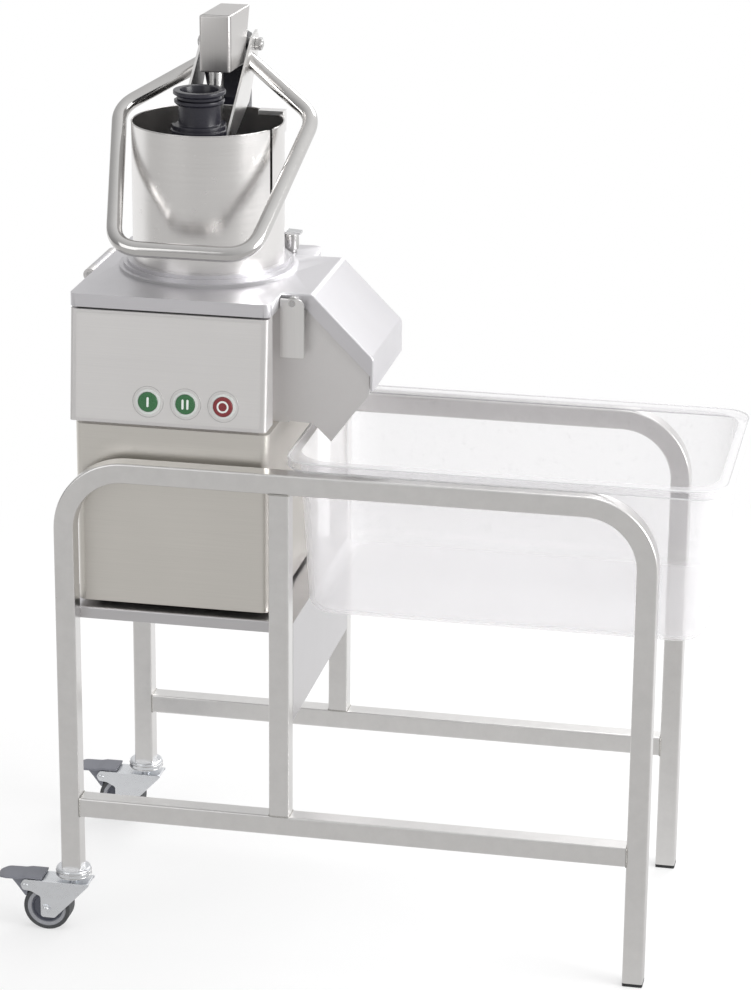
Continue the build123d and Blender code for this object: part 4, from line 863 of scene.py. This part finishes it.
# ---- thin shadow seam round the head block, a little behind its front
seamSettings = {"centre": -0.215, "shift": 0.00434, "y": 0.0360, "width": 0.0380, "low": 1.0600,
                "high": 1.1290, "corner": 0.002, "wide": 0.0004, "proud": 0.0002}


def makeSeam(centre, shift, y, width, low, high, corner, wide, proud):
    # a fine bead round a rounded rectangle that stands across the block
    loop = roundedLoop(width, high - low, corner)
    middle = (low + high) / 2
    path = np.stack((centre + shift + loop[:, 0], np.full(len(loop), y), middle + loop[:, 1]), 1)
    skin("coverSeam", [bead(path, (0, 1, 0), proud, wide)], "lid", "blackRubber")


makeSeam(**seamSettings)

# ---- weld beads where the trolley's tubes meet: a ripple along a rounded square
weldSettings = {"tube": 0.025, "corner": 0.0025, "size": 0.0010, "ripple": 0.22, "waves": 46,
                "postX": -0.0825, "postTop": 0.601, "postFoot": 0.184, "railZ": 0.1715,
                "railEnds": (-0.337, 0.347)}


def makeWelds(tube, corner, size, ripple, waves, postX, postTop, postFoot, railZ, railEnds):
    # a bead round the tube's outline, swelling and shrinking as a sine along its length
    loop = roundedLoop(tube, tube, corner, 24)
    phase = np.linspace(0, 2 * math.pi * waves, len(loop), endpoint=False)
    swell = 1 + ripple * np.sin(phase)
    grids = []
    for y in legSides:
        for level in (postTop, postFoot):
            grids.append(bead(lying(loop, level, postX, y), (0, 0, 1), size, size, swell, sides=8))
        for x in railEnds:
            path = np.stack((np.full(len(loop), x), y + loop[:, 0], railZ + loop[:, 1]), 1)
            grids.append(bead(path, (1, 0, 0), size, size, swell, sides=8))
    skin("trolleyWelds", grids, "frame", "weldSteel")


makeWelds(**weldSettings)
print("seam and welds made")

# ---- caster hardware: race rings on the swivel, axle nuts and domed pins
casterSettings = {"swivelX": -0.3495, "axle": wheelSettings["axle"], "pin": (-0.4095, 0.0586),
                  "headRadius": 0.0220, "raceLevels": (0.0765, 0.0815), "race": 0.0006, "face": 0.0157,
                  "nut": 0.0060, "nutHeight": 0.0040, "dome": 0.0042, "domeHeight": 0.0016}


def nutProfile(radius, height, sink=0.0005, flank=0.45, bevel=0.93, bevelTop=0.55, crown=0.62, foot=0.6):
    # a six-sided foot, sunk a little into the sheet, that turns round and ends in a quarter-ellipse crown
    rim = [(0, -sink, 0), (radius, -sink, 1), (radius, height * flank, 1),
           (radius * bevel, height * bevelTop, 0.4)]
    bend = np.linspace(0, math.pi / 2, 7)
    levels = height * (foot + (1 - foot) * np.sin(bend))
    return rim + [(reach, level, 0) for reach, level in zip(radius * crown * np.cos(bend), levels)]


def domeProfile(radius, height, sink=0.0004):
    # a quarter ellipse on a short foot
    bend = np.linspace(0, math.pi / 2, 8)
    crown = [(radius * math.cos(t), height * math.sin(t), 0) for t in bend]
    return [(0, -sink, 0), (radius, -sink, 0)] + crown


def makeCasterHardware(swivelX, axle, pin, headRadius, raceLevels, race, face, nut, nutHeight, dome,
                       domeHeight):
    # beads round the swivel's head, and on each cheek a nut and a pin turned about their axes
    rings = []
    for y in legSides:
        for level in raceLevels:
            loop = circle((swivelX, y, level), (0, 0, 1), headRadius)
            rings.append(bead(loop, (0, 0, 1), race, race, sides=8))
    skin("swivelRaces", rings, "frame", "turnedSteel")
    nutForm = nutProfile(nut, nutHeight)
    domeForm = domeProfile(dome, domeHeight)
    (axleX, axleZ), (pinX, pinZ) = axle, pin
    for name, y in casterSides:
        nuts, pins = [], []
        for way in (-1, 1):
            cheek = y + way * face
            nuts.append(turned((axleX, cheek, axleZ), (0, way, 0), nutForm, 6))
            pins.append(turned((pinX, cheek, pinZ), (0, way, 0), domeForm, 0, 32))
        skin(f"axleNuts.{name}", nuts, f"caster_{name}", "zincPlate")
        skin(f"pedalPins.{name}", pins, f"pedal_{name}", "zincPlate")


makeCasterHardware(**casterSettings)

# ---- cap nuts on the lever's pivot
pivotSettings = {"place": (0.13, 1.078), "middle": -0.215, "reach": 0.0370, "radius": 0.0085,
                 "height": 0.0050}


def makePivotNuts(place, middle, reach, radius, height):
    # one cap nut turned about the pivot's axis at each end
    nut = nutProfile(radius, height)
    nuts = [turned((middle + way * reach, *place), (way, 0, 0), nut, 6) for way in (-1, 1)]
    skin("pivotNuts", nuts, "lid", "turnedSteel")


makePivotNuts(**pivotSettings)
print("casters and pivot finished")

# ---- beads along the container's rim edges, in a whiter, less clear finish that paints a highlight on them
rimSettings = {"middle": 0.182, "length": 0.530, "width": 0.338, "corner": 0.038, "inset": 0.0012,
               "top": 0.6360, "foot": 0.6262, "wide": 0.0016, "tall": 0.0009}


def makeRimEdges(middle, length, width, corner, inset, top, foot, wide, tall):
    # two beads round the rim's rounded rectangle, at its top and at the foot of its lip
    grids = []
    for level, inward in ((top, inset), (foot, inset * 0.8)):
        long, broad = length - 2 * inward, width - 2 * inward
        loop = roundedLoop(long, broad, corner - inward, 20)
        grids.append(bead(lying(loop, level, middle), (0, 0, 1), wide, tall, sides=10))
    # whiter, less clear finish on the rim beads: painted highlight
    skin("rimEdges", grids, "container", "rimPaintedHighlight")


makeRimEdges(**rimSettings)
print("container rim finished")

# ---- floor, light and background
stageSettings = {"floor": 9.0, "level": -0.0005, "floorColour": (0.93, 0.93, 0.93), "near": 0.55,
                 "start": 0.95, "end": 1.7, "middle": (0.05, 0.0), "toSun": (0.80, 0.40, 0.45),
                 "facing": (-0.9, 0.9), "dim": 0.30, "bright": 1.0, "shinyDim": 0.30, "back": (0.2, 0.8),
                 "frontShade": (0.62, 0.615, 0.61)}


def rayMask(tree, kinds):
    # the greatest of several Light Path outputs: 1 for rays of these kinds
    rays = tree.nodes.new("ShaderNodeLightPath")
    result = rays.outputs[kinds[0]]
    for kind in kinds[1:]:
        highest = tree.nodes.new("ShaderNodeMath")
        highest.operation = "MAXIMUM"
        tree.links.new(result, highest.inputs[0])
        tree.links.new(rays.outputs[kind], highest.inputs[1])
        result = highest.outputs[0]
    return result


def makeFloor(settings):
    # paper that fades to plain white with the distance, and that mirrors see grey in front and white behind
    half, level = settings["floor"], settings["level"]
    mesh = bpy.data.meshes.new("studioFloor")
    corners = [(x * half, y * half, level) for x, y in ((-1, -1), (1, -1), (1, 1), (-1, 1))]
    mesh.from_pydata(corners, [], [(0, 1, 2, 3)])
    floor = added("studioFloor", mesh)
    finish = Finish("studioFloor")
    colour = settings["floorColour"]
    paper = finish.blend(finish.noise(3.0, 2.0), toned(colour, 0.99), colour)
    lit = finish.node("ShaderNodeBsdfPrincipled", {}, {"Base Color": paper, "Roughness": 0.9})
    ahead = finish.part(0) - settings["middle"][0]
    beside = finish.part(1) - settings["middle"][1]
    reach = (ahead * ahead + beside * beside) ** 0.5
    middle = (settings["start"] + settings["end"]) / 2
    far = reach.above(middle, (settings["end"] - settings["start"]) / 2)
    behind = beside.above(*settings["back"])
    seen = Wire(finish, rayMask(finish.tree, ("Is Camera Ray", "Is Transmission Ray")))
    mirrored = Wire(finish, rayMask(finish.tree, ("Is Glossy Ray",)))
    white = seen * (settings["near"] + far * (1 - settings["near"])) + mirrored
    shade = finish.blend(mirrored * (1 - behind), (1.0, 1.0, 1.0), settings["frontShade"])
    glow = finish.node("ShaderNodeEmission", {}, {"Color": shade, "Strength": 1.0})
    mixed = finish.node("ShaderNodeMixShader", {}, {0: white, 1: lit, 2: glow})
    mesh.materials.append(finish.surface(mixed))


def ranged(tree, source, low, high, span=(0.0, 1.0)):
    # the source carried from the span to low and high, each a number or another node's output
    made = tree.nodes.new("ShaderNodeMapRange")
    tree.links.new(source, made.inputs[0])
    made.inputs[1].default_value, made.inputs[2].default_value = span
    for index, value in ((3, low), (4, high)):
        if isinstance(value, float):
            made.inputs[index].default_value = value
        else:
            tree.links.new(value, made.inputs[index])
    return made.outputs[0]


def makeWorld(settings):
    # brighter towards the sun's side, with its own range for mirrored rays, and white to the camera
    world = bpy.data.worlds.new("studioWorld")
    bpy.context.scene.world = world
    world.use_nodes = True
    tree = world.node_tree
    tree.nodes.clear()
    place = tree.nodes.new("ShaderNodeTexCoord")
    facing = tree.nodes.new("ShaderNodeVectorMath")
    facing.operation = "DOT_PRODUCT"
    tree.links.new(place.outputs["Generated"], facing.inputs[0])
    facing.inputs[1].default_value = settings["toSun"]
    toward, span = facing.outputs["Value"], settings["facing"]
    soft = ranged(tree, toward, settings["dim"], settings["bright"], span)
    shiny = ranged(tree, toward, settings["shinyDim"], 1.0, span)
    level = ranged(tree, rayMask(tree, ("Is Glossy Ray",)), soft, shiny)
    seen = ranged(tree, rayMask(tree, ("Is Camera Ray", "Is Transmission Ray")), level, 1.0)
    light = tree.nodes.new("ShaderNodeBackground")
    light.inputs["Color"].default_value = (1, 1, 1, 1)
    tree.links.new(seen, light.inputs["Strength"])
    tree.links.new(light.outputs[0], tree.nodes.new("ShaderNodeOutputWorld").inputs["Surface"])


lamps = {
    "keyLamp": {"place": (3.6, -0.7, 1.7), "aim": (0, 0, 0.6), "size": 2.2, "watts": 105},
    "fillLamp": {"place": (-2.2, -3.0, 2.0), "aim": (0, 0, 0.6), "size": 2.4, "watts": 22},
    "backLamp": {"place": (0.8, 2.6, 3.0), "aim": (0, 0, 0.7), "size": 2.0, "watts": 45},
}


def makeLamp(name, place, aim, size, watts):
    data = bpy.data.lights.new(name, "AREA")
    data.shape = "SQUARE"
    data.size = size
    data.energy = watts
    lamp = added(name, data)
    lamp.location = place
    lamp.rotation_euler = (Vector(aim) - Vector(place)).to_track_quat("-Z", "Y").to_euler()


makeFloor(stageSettings)
makeWorld(stageSettings)
for lampName, settings in lamps.items():
    makeLamp(lampName, **settings)
bpy.context.scene.view_settings.view_transform = "Standard"
print("studio lit")
